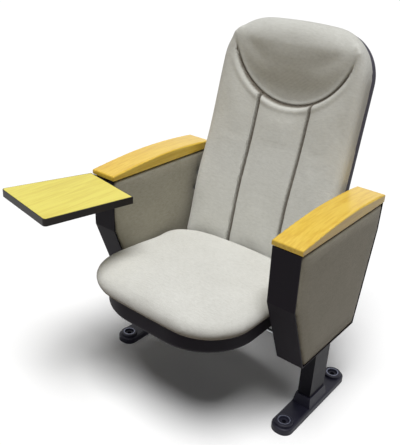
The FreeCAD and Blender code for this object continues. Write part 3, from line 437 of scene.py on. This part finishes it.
@dataclass(frozen=True)
class PaintedCasting:
    """Cast-iron foot under dark paint: a sandy skin, with the paint rubbed bright round the bolt holes, in
    a ring that is also a painted highlight on the counterbores' edges.
    """

    name: str
    base: str
    dusty: str
    # Bright bare metal round the bolt holes, partly rubbed paint and partly a painted highlight on the
    # counterbores' edges
    bare_and_highlight: str
    bolt_x: float = 0.305
    bolt_y: float = 0.140
    rim_radius: float = 16.5 * MM
    rim_width: float = 3.5 * MM
    rim_level: float = 24.0 * MM
    ragged: float = 4.0 * MM
    sand_mm: float = 2.4
    dust_mm: float = 30.0

    def rubbed_and_highlight(self, tree: Tree, place: Socket, sand: Socket) -> Socket:
        """Where the paint is rubbed off round the bolt holes, in a ring that is also a painted highlight on
        the counterbores' edges.

        Args:
            tree: The material's node tree.
            place: The Object coordinates.
            sand: The sandy skin, which makes the rim ragged.

        Returns:
            The socket of a share, 1 where the metal is bare and the highlight is painted.
        """
        parts = add_node(tree, "ShaderNodeSeparateXYZ", {}, {"Vector": place}).outputs
        squares = []
        for name, middle in (("X", self.bolt_x), ("Y", self.bolt_y)):
            away = calculate(tree, "SUBTRACT", calculate(tree, "ABSOLUTE", parts[name]), middle)
            squares.append(calculate(tree, "MULTIPLY", away, away))
        radius = calculate(tree, "SQRT", calculate(tree, "ADD", *squares))
        edge = calculate(tree, "MULTIPLY_ADD", sand, self.ragged, radius)
        rim = calculate(tree, "COMPARE", edge, self.rim_radius + self.ragged / 2, self.rim_width / 2)
        return calculate(tree, "MULTIPLY", rim, calculate(tree, "GREATER_THAN", parts["Z"], self.rim_level))

    def build(self) -> bpy.types.Material:
        """Make the material.

        Returns:
            The new material.
        """
        material, tree, place = new_material(self.name)
        sand = add_noise(tree, place, self.sand_mm, detail=3.0, roughness=0.6)
        dust = add_noise(tree, place, self.dust_mm, detail=5.0, roughness=0.7)
        # Painted highlight: the bare ring lies on the counterbores' edges, where the light catches them
        bare_and_highlight = self.rubbed_and_highlight(tree, place, sand)
        paint = add_ramp(tree, dust, (0.4, self.base), (0.8, self.dusty))
        # The Mix node's colours are its inputs 6 and 7, and its mixed colour is output 2.
        colour = add_node(tree, "ShaderNodeMix", {"data_type": "RGBA", 7: linear(self.bare_and_highlight)},
                          {"Factor": bare_and_highlight, 6: paint}).outputs[2]
        finish_material(tree, {"IOR": 1.5, "Specular IOR Level": 0.3}, {
            "Base Color": colour, "Roughness": add_range(tree, dust, 0.38, 0.6), "Metallic": bare_and_highlight,
            "Normal": add_bump(tree, sand, strength=0.3, depth_mm=0.6)})
        return material


@dataclass(frozen=True)
class PlatedSteel:
    """Zinc-plated steel: grey metal with cloudy patches and fine drawn lines."""

    name: str
    light: str
    dark: str
    line_mm: float = 0.8
    line_stretch: float = 0.1
    cloud_mm: float = 12.0

    def build(self) -> bpy.types.Material:
        """Make the material.

        Returns:
            The new material.
        """
        material, tree, place = new_material(self.name)
        along = stretched(tree, place, (self.line_stretch, 1.0, 1.0))
        lines = add_noise(tree, along, self.line_mm, detail=2.0)
        cloud = add_noise(tree, place, self.cloud_mm, detail=3.0)
        finish_material(tree, {"Metallic": 1.0}, {
            "Base Color": add_ramp(tree, cloud, (0.35, self.dark), (0.7, self.light)),
            "Roughness": add_range(tree, lines, 0.25, 0.48),
            "Normal": add_bump(tree, lines, strength=0.1, depth_mm=0.1)})
        return material


SEAT_CLOTH = WovenUpholstery("woven_seat_upholstery", "e8e8e3", "bcbbb3", Axis.X, Axis.Y)
# The back's copy of the cushion cloth is a little darker than the seat's: a slight painted shade
BACK_CLOTH = WovenUpholstery("woven_back_upholstery", "e4e4de", "b8b7af", Axis.X, Axis.Z)
PANEL_CLOTH = WovenUpholstery("woven_panel_upholstery", "bab5a6", "88836f", Axis.Y, Axis.Z)
BEECH = LacqueredWood("lacquered_beech", "ebc751", "e3bc44", "d5a538")
LAMINATE = LacqueredWood("maple_laminate", "e6d962", "dfcf55", "d6c34b",
                         grain_mm=9.0, roughness=0.35, coat=0.1)
PLYWOOD = LacqueredWood("birch_plywood", "d2b48a", "c0a075", "a2825a", roughness=0.6, coat=0.0)
CASING = MouldedPlastic("moulded_polypropylene", "100c12", "171219", roughness=0.6, gloss=0.12)
SHELL = MouldedPlastic("moulded_back_shell", "262132", "37313f", grain_mm=2.2, gloss=0.15)
EDGING = MouldedPlastic("edge_band", "15110f", "231d1a", roughness=0.4)
NYLON = MouldedPlastic("turned_nylon", "dcd9cc", "c8c4b4", roughness=0.4, relief=0.1)
RUBBER = MouldedPlastic("moulded_rubber", "121212", "1e1e1e", roughness=0.75)
COAT = PowderCoat("powder_coated_steel", "0c0b12", "17161f")
CASTING = PaintedCasting("painted_casting", "12111f", "1f1e2c", "7c7f90")
ZINC = PlatedSteel("zinc_plated_steel", "c2c5c8", "8f9396")


class Finish(Enum):
    """The finish of each material slot in the record."""

    cushion_fabric = SEAT_CLOTH
    panel_fabric = PANEL_CLOTH
    beech_wood = BEECH
    laminate_board = LAMINATE
    edge_plastic = EDGING
    plywood = PLYWOOD
    moulded_plastic = CASING
    shell_plastic = SHELL
    nylon = NYLON
    rubber = RUBBER
    coated_steel = COAT
    plated_steel = ZINC


def dress(piece: bpy.types.Object, material: bpy.types.Material) -> None:
    """Give a piece one material all over."""
    piece.data.materials.clear()
    piece.data.materials.append(material)


def select_only(piece: bpy.types.Object) -> None:
    """Make one piece the only selected and the active one.

    Args:
        piece: The piece.
    """
    bpy.ops.object.select_all(action="DESELECT")
    piece.select_set(True)
    bpy.context.view_layer.objects.active = piece


def apply_modifier(piece: bpy.types.Object, kind: str, settings: dict[str, Any]) -> None:
    """Add a modifier and apply it.

    Args:
        piece: The mesh to change.
        kind: Blender's name for the modifier.
        settings: Its values by property name.
    """
    select_only(piece)
    modifier = piece.modifiers.new(kind.lower(), kind)
    for name, value in settings.items():
        setattr(modifier, name, value)
    bpy.ops.object.modifier_apply(modifier=modifier.name)


def points_of(piece: bpy.types.Object) -> np.ndarray:
    """Read the vertices of a piece.

    Args:
        piece: The piece.

    Returns:
        Their places, one row each.
    """
    flat = np.zeros(len(piece.data.vertices) * 3)
    piece.data.vertices.foreach_get("co", flat)
    return flat.reshape(-1, 3)


def move_points(piece: bpy.types.Object, points: np.ndarray) -> None:
    """Put the vertices of a piece at new places."""
    piece.data.vertices.foreach_set("co", points.reshape(-1))
    piece.data.update()


def smooth_step(values: np.ndarray, low: float, high: float) -> np.ndarray:
    """Rise smoothly from 0 at low to 1 at high."""
    share = np.clip((values - low) / (high - low), 0, 1)
    return share * share * (3 - 2 * share)


def bell(values: np.ndarray, width: float) -> np.ndarray:
    """Fall off smoothly on both sides of zero, from 1 there."""
    return np.exp(-(values / width) ** 2)


@dataclass
class Upholstery:
    """A padded piece: a copy of its solid, drawn in, then swollen as cloth over its filling.

    Its proud is how far the cloth may stand out of the solid, and most_move how far it may swell.
    The counts calm, smoothing and evening say how often its swelling, the whole piece and its uneven
    places are smoothed.
    """

    name: str
    node: str
    body: str
    slot: str
    cloth: WovenUpholstery
    voxel: float = 7.0 * MM
    draw_in: float = 0.5 * MM
    pressure: float = 3.0
    frames: int = 14
    most_move: float = 12.0 * MM
    calm: int = 16
    proud: float = 2.0 * MM
    fill: float = 0.85
    smooth_factor: float = 0.5
    smoothing: int = 3
    evening: int = 14
    divide: bool = True

    def held(self, points: np.ndarray) -> np.ndarray:
        """Which points the board and the seams hold: none unless a cushion says so."""
        return np.zeros(len(points), bool)

    def shape(self, points: np.ndarray) -> np.ndarray:
        """Where the points go before the cloth swells."""
        return points

    def uneven(self, points: np.ndarray) -> np.ndarray:
        """Where the cloth is smoothed further, from 0 to 1: nowhere unless a cushion says so."""
        return np.zeros(len(points))

    def sewn(self, points: np.ndarray) -> np.ndarray:
        """How deep in a sewn line each point lies, from 0 to 1, which sets its painted shade: nowhere
        unless a cushion says so.
        """
        return np.zeros(len(points))

    def settle(self, points: np.ndarray) -> np.ndarray:
        """Where the points go after the cloth has swollen."""
        return points

    def laid_out(self, points: np.ndarray) -> np.ndarray:
        """Where each point lies on the cloth: at its own place, as on a flat board."""
        return points

    def remesh(self, piece: bpy.types.Object) -> None:
        """Make the piece of even quads."""
        apply_modifier(piece, "REMESH", {"mode": "VOXEL", "voxel_size": self.voxel})

    def copy_solid(self, frame: Frame) -> bpy.types.Object:
        """Copy the solid into a new piece and remesh it.

        Args:
            frame: The loaded frame.

        Returns:
            The new piece, in even quads.
        """
        mesh = frame["nodes"][self.node].data.copy()
        piece = bpy.data.objects.new(self.name, mesh)
        bpy.context.scene.collection.objects.link(piece)
        select_only(piece)
        bpy.ops.object.mode_set(mode="EDIT")
        bpy.ops.mesh.select_all(action="SELECT")
        bpy.ops.mesh.remove_doubles(threshold=WELD)
        bpy.ops.object.mode_set(mode="OBJECT")
        self.remesh(piece)
        return piece

    def envelope(self, frame: Frame) -> BVHTree:
        """The solid's own surface, which the cloth may pass by a little."""
        mesh = frame["nodes"][self.node].data
        return BVHTree.FromPolygons([v.co for v in mesh.vertices], [p.vertices for p in mesh.polygons])

    def keep_within(self, points: np.ndarray, surface: BVHTree) -> np.ndarray:
        """Bring points back that stand too far out of the solid.

        Args:
            points: The vertices.
            surface: The solid's surface.

        Returns:
            The vertices, none further out than the piece may stand proud.
        """
        kept = points.copy()
        for index, point in enumerate(points):
            near, normal, _, _ = surface.find_nearest(Vector(point))
            out = (Vector(point) - near).dot(normal)
            if out > self.proud:
                kept[index] = near + normal * self.proud
        return kept

    def swell(self, piece: bpy.types.Object) -> None:
        """Blow the cover up as cloth, with its held points fixed.

        Args:
            piece: The piece.
        """
        before = points_of(piece)
        group = piece.vertex_groups.new(name="held")
        group.add([int(i) for i in np.flatnonzero(self.held(before))], 1.0, "REPLACE")
        select_only(piece)
        cover = piece.modifiers.new("cover", "CLOTH")
        for name, value in CLOTH_FIRMNESS.items():
            setattr(cover.settings, name, value)
        cover.settings.use_pressure = True
        cover.settings.uniform_pressure_force = self.pressure
        cover.settings.vertex_group_mass = group.name
        cover.settings.effector_weights.gravity = 0
        for frame_number in range(1, self.frames + 1):
            bpy.context.scene.frame_set(frame_number)
        bpy.ops.object.modifier_apply(modifier=cover.name)
        bpy.context.scene.frame_set(1)
        piece.vertex_groups.clear()
        moved = points_of(piece) - before
        length = np.maximum(np.linalg.norm(moved, axis=1, keepdims=True), TINY)
        move_points(piece, before + self.calmed(piece, moved * np.minimum(1, self.most_move / length)))

    def calmed(self, piece: bpy.types.Object, moved: np.ndarray) -> np.ndarray:
        """Even out how the cover has moved, as a firm filling does.

        Args:
            piece: The swollen piece.
            moved: How far each vertex has moved.

        Returns:
            The same without its small folds.
        """
        ends = np.zeros(len(piece.data.edges) * 2, int)
        piece.data.edges.foreach_get("vertices", ends)
        first, second = ends.reshape(-1, 2).T
        count = np.bincount(ends, minlength=len(moved))[:, None]
        for _ in range(self.calm):
            total = np.zeros_like(moved)
            np.add.at(total, first, moved[second])
            np.add.at(total, second, moved[first])
            moved = (moved + total / count) / 2
        return moved

    def smooth(self, piece: bpy.types.Object) -> None:
        """Smooth the whole piece, and once more where forms of the solid meet below the cloth.

        Args:
            piece: The piece.
        """
        apply_modifier(piece, "SMOOTH", {"factor": self.smooth_factor, "iterations": self.smoothing})
        shares = self.uneven(points_of(piece))
        if shares.any():
            group = piece.vertex_groups.new(name="evened_out")
            for index in np.flatnonzero(shares):
                group.add([int(index)], float(shares[index]), "REPLACE")
            apply_modifier(piece, "SMOOTH", {
                "factor": self.smooth_factor, "iterations": self.evening, "vertex_group": group.name})

    def finish_form(self, piece: bpy.types.Object, frame: Frame) -> None:
        """Draw the sewn lines, note how deep in them each vertex lies for their painted shade, and note for
        the cloth how each vertex lies in it.

        Args:
            piece: The swollen and smoothed piece.
            frame: The loaded frame.
        """
        swollen = points_of(piece)
        # Painted shade: the cloth is darkened this deep in the sewn lines
        seam = piece.data.attributes.new(SEAM_SHADE, "FLOAT", "POINT")
        seam.data.foreach_set("value", self.sewn(swollen))
        move_points(piece, self.keep_within(self.settle(swollen), self.envelope(frame)))
        laid = piece.data.attributes.new(CLOTH_PLACE, "FLOAT_VECTOR", "POINT")
        laid.data.foreach_set("vector", self.laid_out(points_of(piece)).ravel())
        select_only(piece)
        bpy.ops.object.shade_smooth()

    def build(self, frame: Frame) -> bpy.types.Object:
        """Make the piece and fix it to its body.

        Args:
            frame: The loaded frame.

        Returns:
            The finished piece.
        """
        piece = self.copy_solid(frame)
        move_points(piece, self.shape(points_of(piece)))
        self.remesh(piece)
        apply_modifier(piece, "DISPLACE", {"strength": -self.draw_in, "mid_level": 0.0})
        self.swell(piece)
        self.smooth(piece)
        if self.divide:
            apply_modifier(piece, "SUBSURF", {"levels": 1, "render_levels": 1})
        self.finish_form(piece, frame)
        dress(piece, self.cloth.build())
        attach(piece, self.body)
        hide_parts(self.node)
        return piece


@dataclass
class SeatCushion(Upholstery):
    """The seat cushion: glued down flat below, and rounded over deeply towards its rim."""

    seam_level: float = 0.356
    held_height: float = 6.0 * MM
    half_width: float = 0.252
    front_y: float = -0.410
    rear_y: float = 0.050
    front_corner: float = 0.143
    rear_corner: float = 0.104
    # The top falls towards the rim from this far inside, to this share of its height above the seam.
    rim_reach: float = 0.115
    rim_share: float = 0.56
    # Below the rim the cloth goes in and up by this much, over that height and that far inside.
    tuck: float = 10.0 * MM
    tuck_lift: float = 3.0 * MM
    tuck_height: float = 32.0 * MM
    tuck_reach: float = 45.0 * MM
    # From here rearwards the rim grows as tall as the rest.
    rear_start: float = -0.120

    def held(self, points: np.ndarray) -> np.ndarray:
        """The underside is glued to the board."""
        return points[:, Axis.Z.value] < self.seam_level + self.held_height

    def outline(self) -> tuple[np.ndarray, np.ndarray]:
        """The middle of the cushion's outline and its half sizes, seen from above."""
        middle = np.array((0, (self.front_y + self.rear_y) / 2))
        return middle, np.array((self.half_width, (self.rear_y - self.front_y) / 2))

    def from_rim(self, points: np.ndarray) -> np.ndarray:
        """How far inside the cushion's rounded outline each point lies, seen from above.

        Args:
            points: The vertices.

        Returns:
            One distance for each, about zero on the side walls.
        """
        middle, half = self.outline()
        corner = np.where(points[:, 1] < middle[1], self.front_corner, self.rear_corner)
        across, along = (np.abs(points[:, :2] - middle) - half + corner[:, None]).T
        round_corner = np.hypot(np.maximum(across, 0), np.maximum(along, 0))
        return corner - round_corner - np.minimum(np.maximum(across, along), 0)

    def shape(self, points: np.ndarray) -> np.ndarray:
        """Lower the top towards the rim in a long round fall, and tuck the cloth in below the rim.

        Args:
            points: The vertices of the remeshed solid.

        Returns:
            Their new places.
        """
        shaped = points.copy()
        inside = self.from_rim(points)
        inward = np.clip(inside / self.rim_reach, 0, 1)
        ahead = 1 - smooth_step(points[:, 1], self.rear_start, self.rear_y)
        share = self.rim_share + (1 - self.rim_share) * np.sqrt(1 - (1 - inward) ** 2)
        share = 1 - (1 - share) * ahead
        height = (points[:, 2] - self.seam_level) * share
        under = np.clip(1 - height / self.tuck_height, 0, 1) * ahead
        under *= 1 - smooth_step(inside, 0, self.tuck_reach)
        shaped[:, 2] = self.seam_level + height + self.tuck_lift * under
        middle, half = self.outline()
        shaped[:, :2] -= (points[:, :2] - middle) / half * (self.tuck * under ** 2)[:, None]
        return shaped

    def laid_out(self, points: np.ndarray) -> np.ndarray:
        """The cloth runs across the top and on down the rim.

        Args:
            points: The finished vertices.

        Returns:
            Their places on the cloth.
        """
        laid = points.copy()
        down = points[:, 2].max() - points[:, 2]
        laid[:, 0] += np.sign(points[:, 0]) * down
        laid[:, 1] -= down
        return laid


@dataclass
class BackCushion(Upholstery):
    """The back cushion, sewn down along a head-rest groove and two channels.

    Heights count along the leaning back from its foot, and depths rearwards from its face.
    """

    foot_y: float = 0.0692
    foot_z: float = 0.3477
    recline: float = 13.3
    thick: float = 0.034
    # From the first of these shares of the thickness to the second a point leaves the shown face.
    face_ends: tuple[float, float] = (0.5, 0.9)
    glued_depth: float = 12.0 * MM
    dish: float = 1.1
    # The circle that the head-rest groove follows, and the height of its lowest point
    head_radius: float = 0.200
    head_low: float = 0.471
    # The head-rest's roll: its height, its half sizes across, forwards and up, and its middle's depth
    roll_up: float = 0.641
    roll_size: tuple[float, float, float] = (0.194, 0.0305, 0.067)
    roll_behind: float = 3.0 * MM
    # Below the roll, between these distances, the cloth begins to be smoothed further.
    roll_below: tuple[float, float] = (0.125, 0.055)
    # The solid's coarse grooves, filled this far to each side, and held this far as cloth
    fill_width: float = 13.0 * MM
    groove_half: float = 4.5 * MM
    # The sewn lines
    groove_depth: float = 8.0 * MM
    channel_half: float = 0.086
    channel_depth: float = 14.0 * MM
    channel_gap: float = 2.0 * MM
    stitch_width: float = 4.6 * MM
    # The lip beside the groove
    lip_height: float = 3.0 * MM
    lip_out: float = 15.0 * MM
    lip_width: float = 9.0 * MM
    # Heights above the groove's lowest point between which each of these fades out
    groove_fade: tuple[float, float] = (0.090, 0.175)
    channel_fade: tuple[float, float] = (0.040, 0.060)
    lip_fade: tuple[float, float] = (0.060, 0.140)
    # The head-rest's tilt: depth at the groove's lowest point, height over which that depth is lost along
    # the groove, width of the step at the groove, and how hollow the slope is
    scoop_depth: float = 20.0 * MM
    scoop_height: float = 0.160
    scoop_edge: float = 16.0 * MM
    tilt_bend: float = 1.15
    # Share of the circle's radius, and length of the slope, at which the tilt stays defined at its sides
    tilt_width: float = 0.98
    tilt_least: float = 10.0 * MM
    # Height, reach up and down, and how far the face comes forward there
    bulges: tuple[tuple[float, float, float], ...] = (
        (0.195, 0.090, 7.0 * MM), (0.385, 0.120, -4.0 * MM), (0.655, 0.050, 6.0 * MM))

    def upright(self, points: np.ndarray) -> np.ndarray:
        """Points as on the back before it leans.

        Args:
            points: Places on the chair.

        Returns:
            Across, rearwards and up along the back for each.
        """
        turn = math.radians(self.recline)
        y = points[:, 1] - self.foot_y
        z = points[:, 2] - self.foot_z
        rear = y * math.cos(turn) - z * math.sin(turn)
        up = y * math.sin(turn) + z * math.cos(turn)
        return np.column_stack((points[:, 0], rear, up))

    def leaned(self, flat: np.ndarray) -> np.ndarray:
        """Points of the upright back at their places on the chair.

        Args:
            flat: Across, rearwards and up along the back for each.

        Returns:
            Their places on the chair.
        """
        turn = math.radians(self.recline)
        y = flat[:, 1] * math.cos(turn) + flat[:, 2] * math.sin(turn) + self.foot_y
        z = -flat[:, 1] * math.sin(turn) + flat[:, 2] * math.cos(turn) + self.foot_z
        return np.column_stack((flat[:, 0], y, z))

    def from_groove(self, flat: np.ndarray) -> np.ndarray:
        """Distance outside the head-rest groove's circle, seen from the front."""
        middle = self.head_low + self.head_radius
        return np.hypot(flat[:, 0], flat[:, 2] - middle) - self.head_radius

    def from_channel(self, flat: np.ndarray) -> np.ndarray:
        """Distance to the nearer channel's line, outwards, seen from the front."""
        return np.abs(flat[:, 0]) - self.channel_half

    def below(self, flat: np.ndarray, fade: tuple[float, float]) -> np.ndarray:
        """1 low on the back, falling to 0 between two heights above the groove's lowest point."""
        return 1 - smooth_step(flat[:, 2] - self.head_low, *fade)

    def front(self, flat: np.ndarray) -> np.ndarray:
        """How far a point belongs to the shown face, from 0 to 1."""
        start, end = self.face_ends
        return 1 - smooth_step(flat[:, 1], self.thick * start, self.thick * end)

    def face(self, flat: np.ndarray) -> np.ndarray:
        """Where the shown face lies without its grooves.

        Args:
            flat: Points of the upright back.

        Returns:
            One depth for each: the hollow's, or the roll's where that stands ahead.
        """
        hollow = np.sqrt(self.dish ** 2 - flat[:, 0] ** 2) - self.dish
        half, depth, height = self.roll_size
        inside = 1 - (flat[:, 0] / half) ** 2 - ((flat[:, 2] - self.roll_up) / height) ** 2
        return np.minimum(hollow, self.roll_behind - depth * np.sqrt(np.maximum(inside, 0)))

    def held(self, points: np.ndarray) -> np.ndarray:
        """The rear is glued to the board, and the groove and the channels are sewn down.

        Args:
            points: The vertices.

        Returns:
            One truth value for each.
        """
        flat = self.upright(points)
        rear = flat[:, 1] > self.face(flat) + self.glued_depth
        outside = self.from_groove(flat)
        groove = (np.abs(outside) < self.groove_half) & (flat[:, 2] < self.head_low + self.head_radius)
        channel = (np.abs(self.from_channel(flat)) < self.groove_half) & (outside > 0)
        channel &= flat[:, 2] < self.head_low + self.head_radius / 2
        return rear | groove | channel

    def fill_grooves(self, flat: np.ndarray) -> None:
        """Lift the coarse bottoms of the solid's grooves to the face; they are drawn in at the end.

        Args:
            flat: Points of the upright back, which are moved.
        """
        near = np.minimum(np.abs(self.from_groove(flat)), np.abs(self.from_channel(flat)))
        face = self.face(flat)
        low = (near < self.fill_width) & (flat[:, 1] > face) & (flat[:, 1] < face + self.thick / 2)
        low &= flat[:, 2] > 2 * self.fill_width
        flat[low, 1] = face[low]

    def shape(self, points: np.ndarray) -> np.ndarray:
        """Tilt the head-rest in towards the groove, and let the face swing out at the loins.

        Args:
            points: The vertices of the remeshed solid.

        Returns:
            Their new places.
        """
        flat = self.upright(points)
        self.fill_grooves(flat)
        inside = 1 - smooth_step(self.from_groove(flat), -self.scoop_edge / 2, self.scoop_edge / 2)
        swing = sum(out * bell(flat[:, 2] - up, reach) for up, reach, out in self.bulges)
        flat[:, 1] += self.front(flat) * (inside * self.tilt(flat) - swing)
        return self.leaned(flat)

    def tilt(self, flat: np.ndarray) -> np.ndarray:
        """How far the head-rest goes in, so that it falls evenly from its roll to the groove.

        Args:
            flat: Points of the upright back.

        Returns:
            One distance rearwards for each, zero above the roll.
        """
        across = np.minimum(np.abs(flat[:, 0]), self.head_radius * self.tilt_width)
        low = self.head_low + self.head_radius - np.sqrt(self.head_radius ** 2 - across ** 2)
        slope = np.maximum(self.roll_up - low, self.tilt_least)
        share = np.clip((flat[:, 2] - low) / slope, 0, 1) ** self.tilt_bend
        crest = flat.copy()
        crest[:, 2] = self.roll_up
        foot = flat.copy()
        foot[:, 2] = low
        deep = self.scoop_depth * np.clip(1 - (low - self.head_low) / self.scoop_height, 0, 1)
        wanted = (self.face(foot) + deep) * (1 - share) + self.face(crest) * share
        return np.where(flat[:, 2] < self.roll_up, wanted - flat[:, 1], 0)

    def uneven(self, points: np.ndarray) -> np.ndarray:
        """The head-rest's roll runs into the top edge and the sides."""
        start, end = self.roll_below
        return smooth_step(self.upright(points)[:, 2], self.roll_up - start, self.roll_up - end)

    def lines(self, flat: np.ndarray) -> tuple[np.ndarray, np.ndarray]:
        """The groove and the two channels, each as a share of its full depth at every point.

        Args:
            flat: Points of the upright back.

        Returns:
            The groove's share and the channels' share.
        """
        outside = self.from_groove(flat)
        groove = bell(outside, self.stitch_width) * self.below(flat, self.groove_fade)
        channel = bell(self.from_channel(flat), self.stitch_width) * self.below(flat, self.channel_fade)
        channel *= smooth_step(outside, -self.channel_gap, self.channel_gap)
        return groove, channel

    def sewn(self, points: np.ndarray) -> np.ndarray:
        """The groove and the channels are sewn down, and the cloth gets painted shade deep in them."""
        flat = self.upright(points)
        return np.maximum(*self.lines(flat)) * self.front(flat)

    def settle(self, points: np.ndarray) -> np.ndarray:
        """Draw the sewn lines in, and raise the lip below the head-rest.

        Args:
            points: The swollen vertices.

        Returns:
            Their new places.
        """
        flat = self.upright(points)
        groove, channel = self.lines(flat)
        lip = self.lip_height * bell(self.from_groove(flat) - self.lip_out, self.lip_width)
        lip *= self.below(flat, self.lip_fade) * (1 - channel)
        deep = np.maximum(self.groove_depth * groove, self.channel_depth * channel)
        flat[:, 1] += self.front(flat) * (deep - lip)
        return self.leaned(flat)

    def laid_out(self, points: np.ndarray) -> np.ndarray:
        """The cloth runs up the face and on over the top and the sides.

        Args:
            points: The finished vertices.

        Returns:
            Their places on the cloth.
        """
        flat = self.upright(points)
        laid = flat.copy()
        laid[:, 0] += np.sign(flat[:, 0]) * flat[:, 1]
        laid[:, 2] += flat[:, 1]
        return laid


@dataclass
class SidePanel(Upholstery):
    """An upholstered board in a box arm: only its shown face swells."""

    face: float = 0.0
    face_depth: float = 3.5 * MM

    def held(self, points: np.ndarray) -> np.ndarray:
        """All but the shown face lies against the board."""
        return np.abs(points[:, Axis.X.value] - self.face) > self.face_depth


@dataclass
class ArmPanels:
    """The four upholstered panels of the two box arms."""

    half_span: float = 0.305
    half_width: float = 0.0425
    built: list[bpy.types.Object] = field(default_factory=list)

    def build(self, frame: Frame) -> list[bpy.types.Object]:
        """Make the inner and outer panels of both arms.

        Args:
            frame: The loaded frame.

        Returns:
            The four pieces.
        """
        for side, sign in (("left", -1), ("right", 1)):
            for place, reach in (("inner", -self.half_width), ("outer", self.half_width)):
                panel = SidePanel(
                    name=f"{place}_panel_cover_{side}", node=f"{place}_panel_{side}", body="stand",
                    slot="panel_fabric", cloth=PANEL_CLOTH, draw_in=0.6 * MM, pressure=1.5, frames=8,
                    most_move=3 * MM, proud=1.8 * MM, fill=0.95, divide=False,
                    face=sign * (self.half_span + reach))
                self.built.append(panel.build(frame))
        return self.built


@dataclass
class HardParts:
    """The solids that keep their own shape and get a finish."""

    castings: tuple[str, ...] = ("foot_left", "foot_right")

    def dress_all(self, frame: Frame) -> None:
        """Give every solid the finish of its slot.

        Args:
            frame: The loaded frame.
        """
        made = {finish.name: finish.value.build() for finish in Finish}
        casting = CASTING.build()
        for entry in frame["record"]["subparts"]:
            node = entry["node"]
            material = casting if node in self.castings else made[entry["material_slot"]]
            dress(frame["nodes"][node], material)
            log.info("%s: %s", node, material.name)


@dataclass
class Studio:
    """A plain pale floor, soft light, and a camera where the photograph was taken."""

    camera_at: tuple[float, float, float] = (0.9273, -1.3723, 1.2881)
    azimuth: float = 37.905
    elevation: float = 26.004
    roll: float = 3.189
    lens_mm: float = 51.065
    sensor_mm: float = 36.0
    floor_half: float = 14.0
    floor_level: float = -0.5 * MM
    # The floor's roughness drifts three times in five metres.
    floor_mottle_mm: float = 5000 / 3
    floor_seen: str = "ffffff"
    floor_bounce: str = "5c5143"
    sky_light: float = 0.10
    sun_strength: float = 3.1
    sun_from: tuple[float, float, float] = (0.12, -0.25, 0.96)
    sun_softness: float = 30.0

    def add_camera(self) -> None:
        """Set the camera at the photograph's place, turn and lens."""
        azimuth = math.radians(self.azimuth)
        elevation = math.radians(self.elevation)
        roll = math.radians(self.roll)
        back = Vector((math.sin(azimuth) * math.cos(elevation), -math.cos(azimuth) * math.cos(elevation),
                       math.sin(elevation)))
        level = (-back).cross(Vector((0, 0, 1))).normalized()
        upward = level.cross(-back)
        right = level * math.cos(roll) + upward * math.sin(roll)
        up = upward * math.cos(roll) - level * math.sin(roll)
        data = bpy.data.cameras.new("camera")
        data.lens = self.lens_mm
        data.sensor_width = self.sensor_mm
        data.sensor_fit = "AUTO"
        camera = bpy.data.objects.new("camera", data)
        camera.matrix_world = Matrix((right, up, back)).transposed().to_4x4()
        camera.location = self.camera_at
        bpy.context.scene.collection.objects.link(camera)
        bpy.context.scene.camera = camera

    def seen(self, tree: Tree) -> Socket:
        """Whether a ray shows what it meets to the camera, straight or in a gloss or through glass.

        Args:
            tree: The node tree.

        Returns:
            The socket of 1 for such a ray and 0 for another.
        """
        path = add_node(tree, "ShaderNodeLightPath", {}, {}).outputs
        straight = calculate(tree, "MAXIMUM", path["Is Camera Ray"], path["Is Glossy Ray"])
        return calculate(tree, "MAXIMUM", straight, path["Is Transmission Ray"])

    def add_floor(self) -> None:
        """Lay the floor: it is seen white, and throws little light back at the chair."""
        bpy.ops.object.select_all(action="DESELECT")
        bpy.ops.mesh.primitive_plane_add(size=self.floor_half * 2, location=(0, 0, self.floor_level))
        floor = bpy.context.object
        floor.name = "floor"
        material, tree, place = new_material("pale_floor")
        mottle = add_noise(tree, place, self.floor_mottle_mm, detail=2.0)
        finish_material(tree, {"Specular IOR Level": 0.1}, {
            "Base Color": add_ramp(tree, self.seen(tree), (0.0, self.floor_bounce), (1.0, self.floor_seen)),
            "Roughness": add_range(tree, mottle, 0.85, 0.95)})
        dress(floor, material)

    def add_sun(self) -> None:
        """Add the broad main light, from above and in front of the chair."""
        data = bpy.data.lights.new("main_light", "SUN")
        data.energy = self.sun_strength
        data.angle = math.radians(self.sun_softness)
        sun = bpy.data.objects.new("main_light", data)
        sun.rotation_euler = Vector(self.sun_from).to_track_quat("Z", "Y").to_euler()
        bpy.context.scene.collection.objects.link(sun)

    def add_sky(self) -> None:
        """Add an even dim sky that is seen white."""
        world = bpy.data.worlds.new("studio")
        bpy.context.scene.world = world
        world.use_nodes = True
        tree = world.node_tree
        tree.nodes.clear()
        sky = add_node(tree, "ShaderNodeBackground", {"Color": (1, 1, 1, 1)},
                       {"Strength": add_range(tree, self.seen(tree), self.sky_light, 1.0)})
        add_node(tree, "ShaderNodeOutputWorld", {}, {"Surface": sky.outputs[0]})

    def build(self) -> None:
        """Set up the whole studio."""
        self.add_camera()
        self.add_floor()
        self.add_sky()
        self.add_sun()
        bpy.context.scene.view_settings.view_transform = "Standard"


def main() -> None:
    """Build the scene around the frame."""
    logging.basicConfig(level=logging.INFO, format="%(name)s: %(message)s")
    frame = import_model()
    Studio().build()
    HardParts().dress_all(frame)
    pieces = [
        SeatCushion("seat_cushion_cover", "seat_cushion", "seat", "cushion_fabric", SEAT_CLOTH,
                    proud=5 * MM, smoothing=8).build(frame),
        BackCushion("back_cushion_cover", "back_cushion", "stand", "cushion_fabric", BACK_CLOTH,
                    voxel=5 * MM, frames=12, proud=11 * MM, smoothing=4).build(frame),
        *ArmPanels().build(frame),
    ]
    for piece in pieces:
        log.info("%s: %d faces", piece.name, len(piece.data.polygons))


if __name__ == "__main__":
    main()
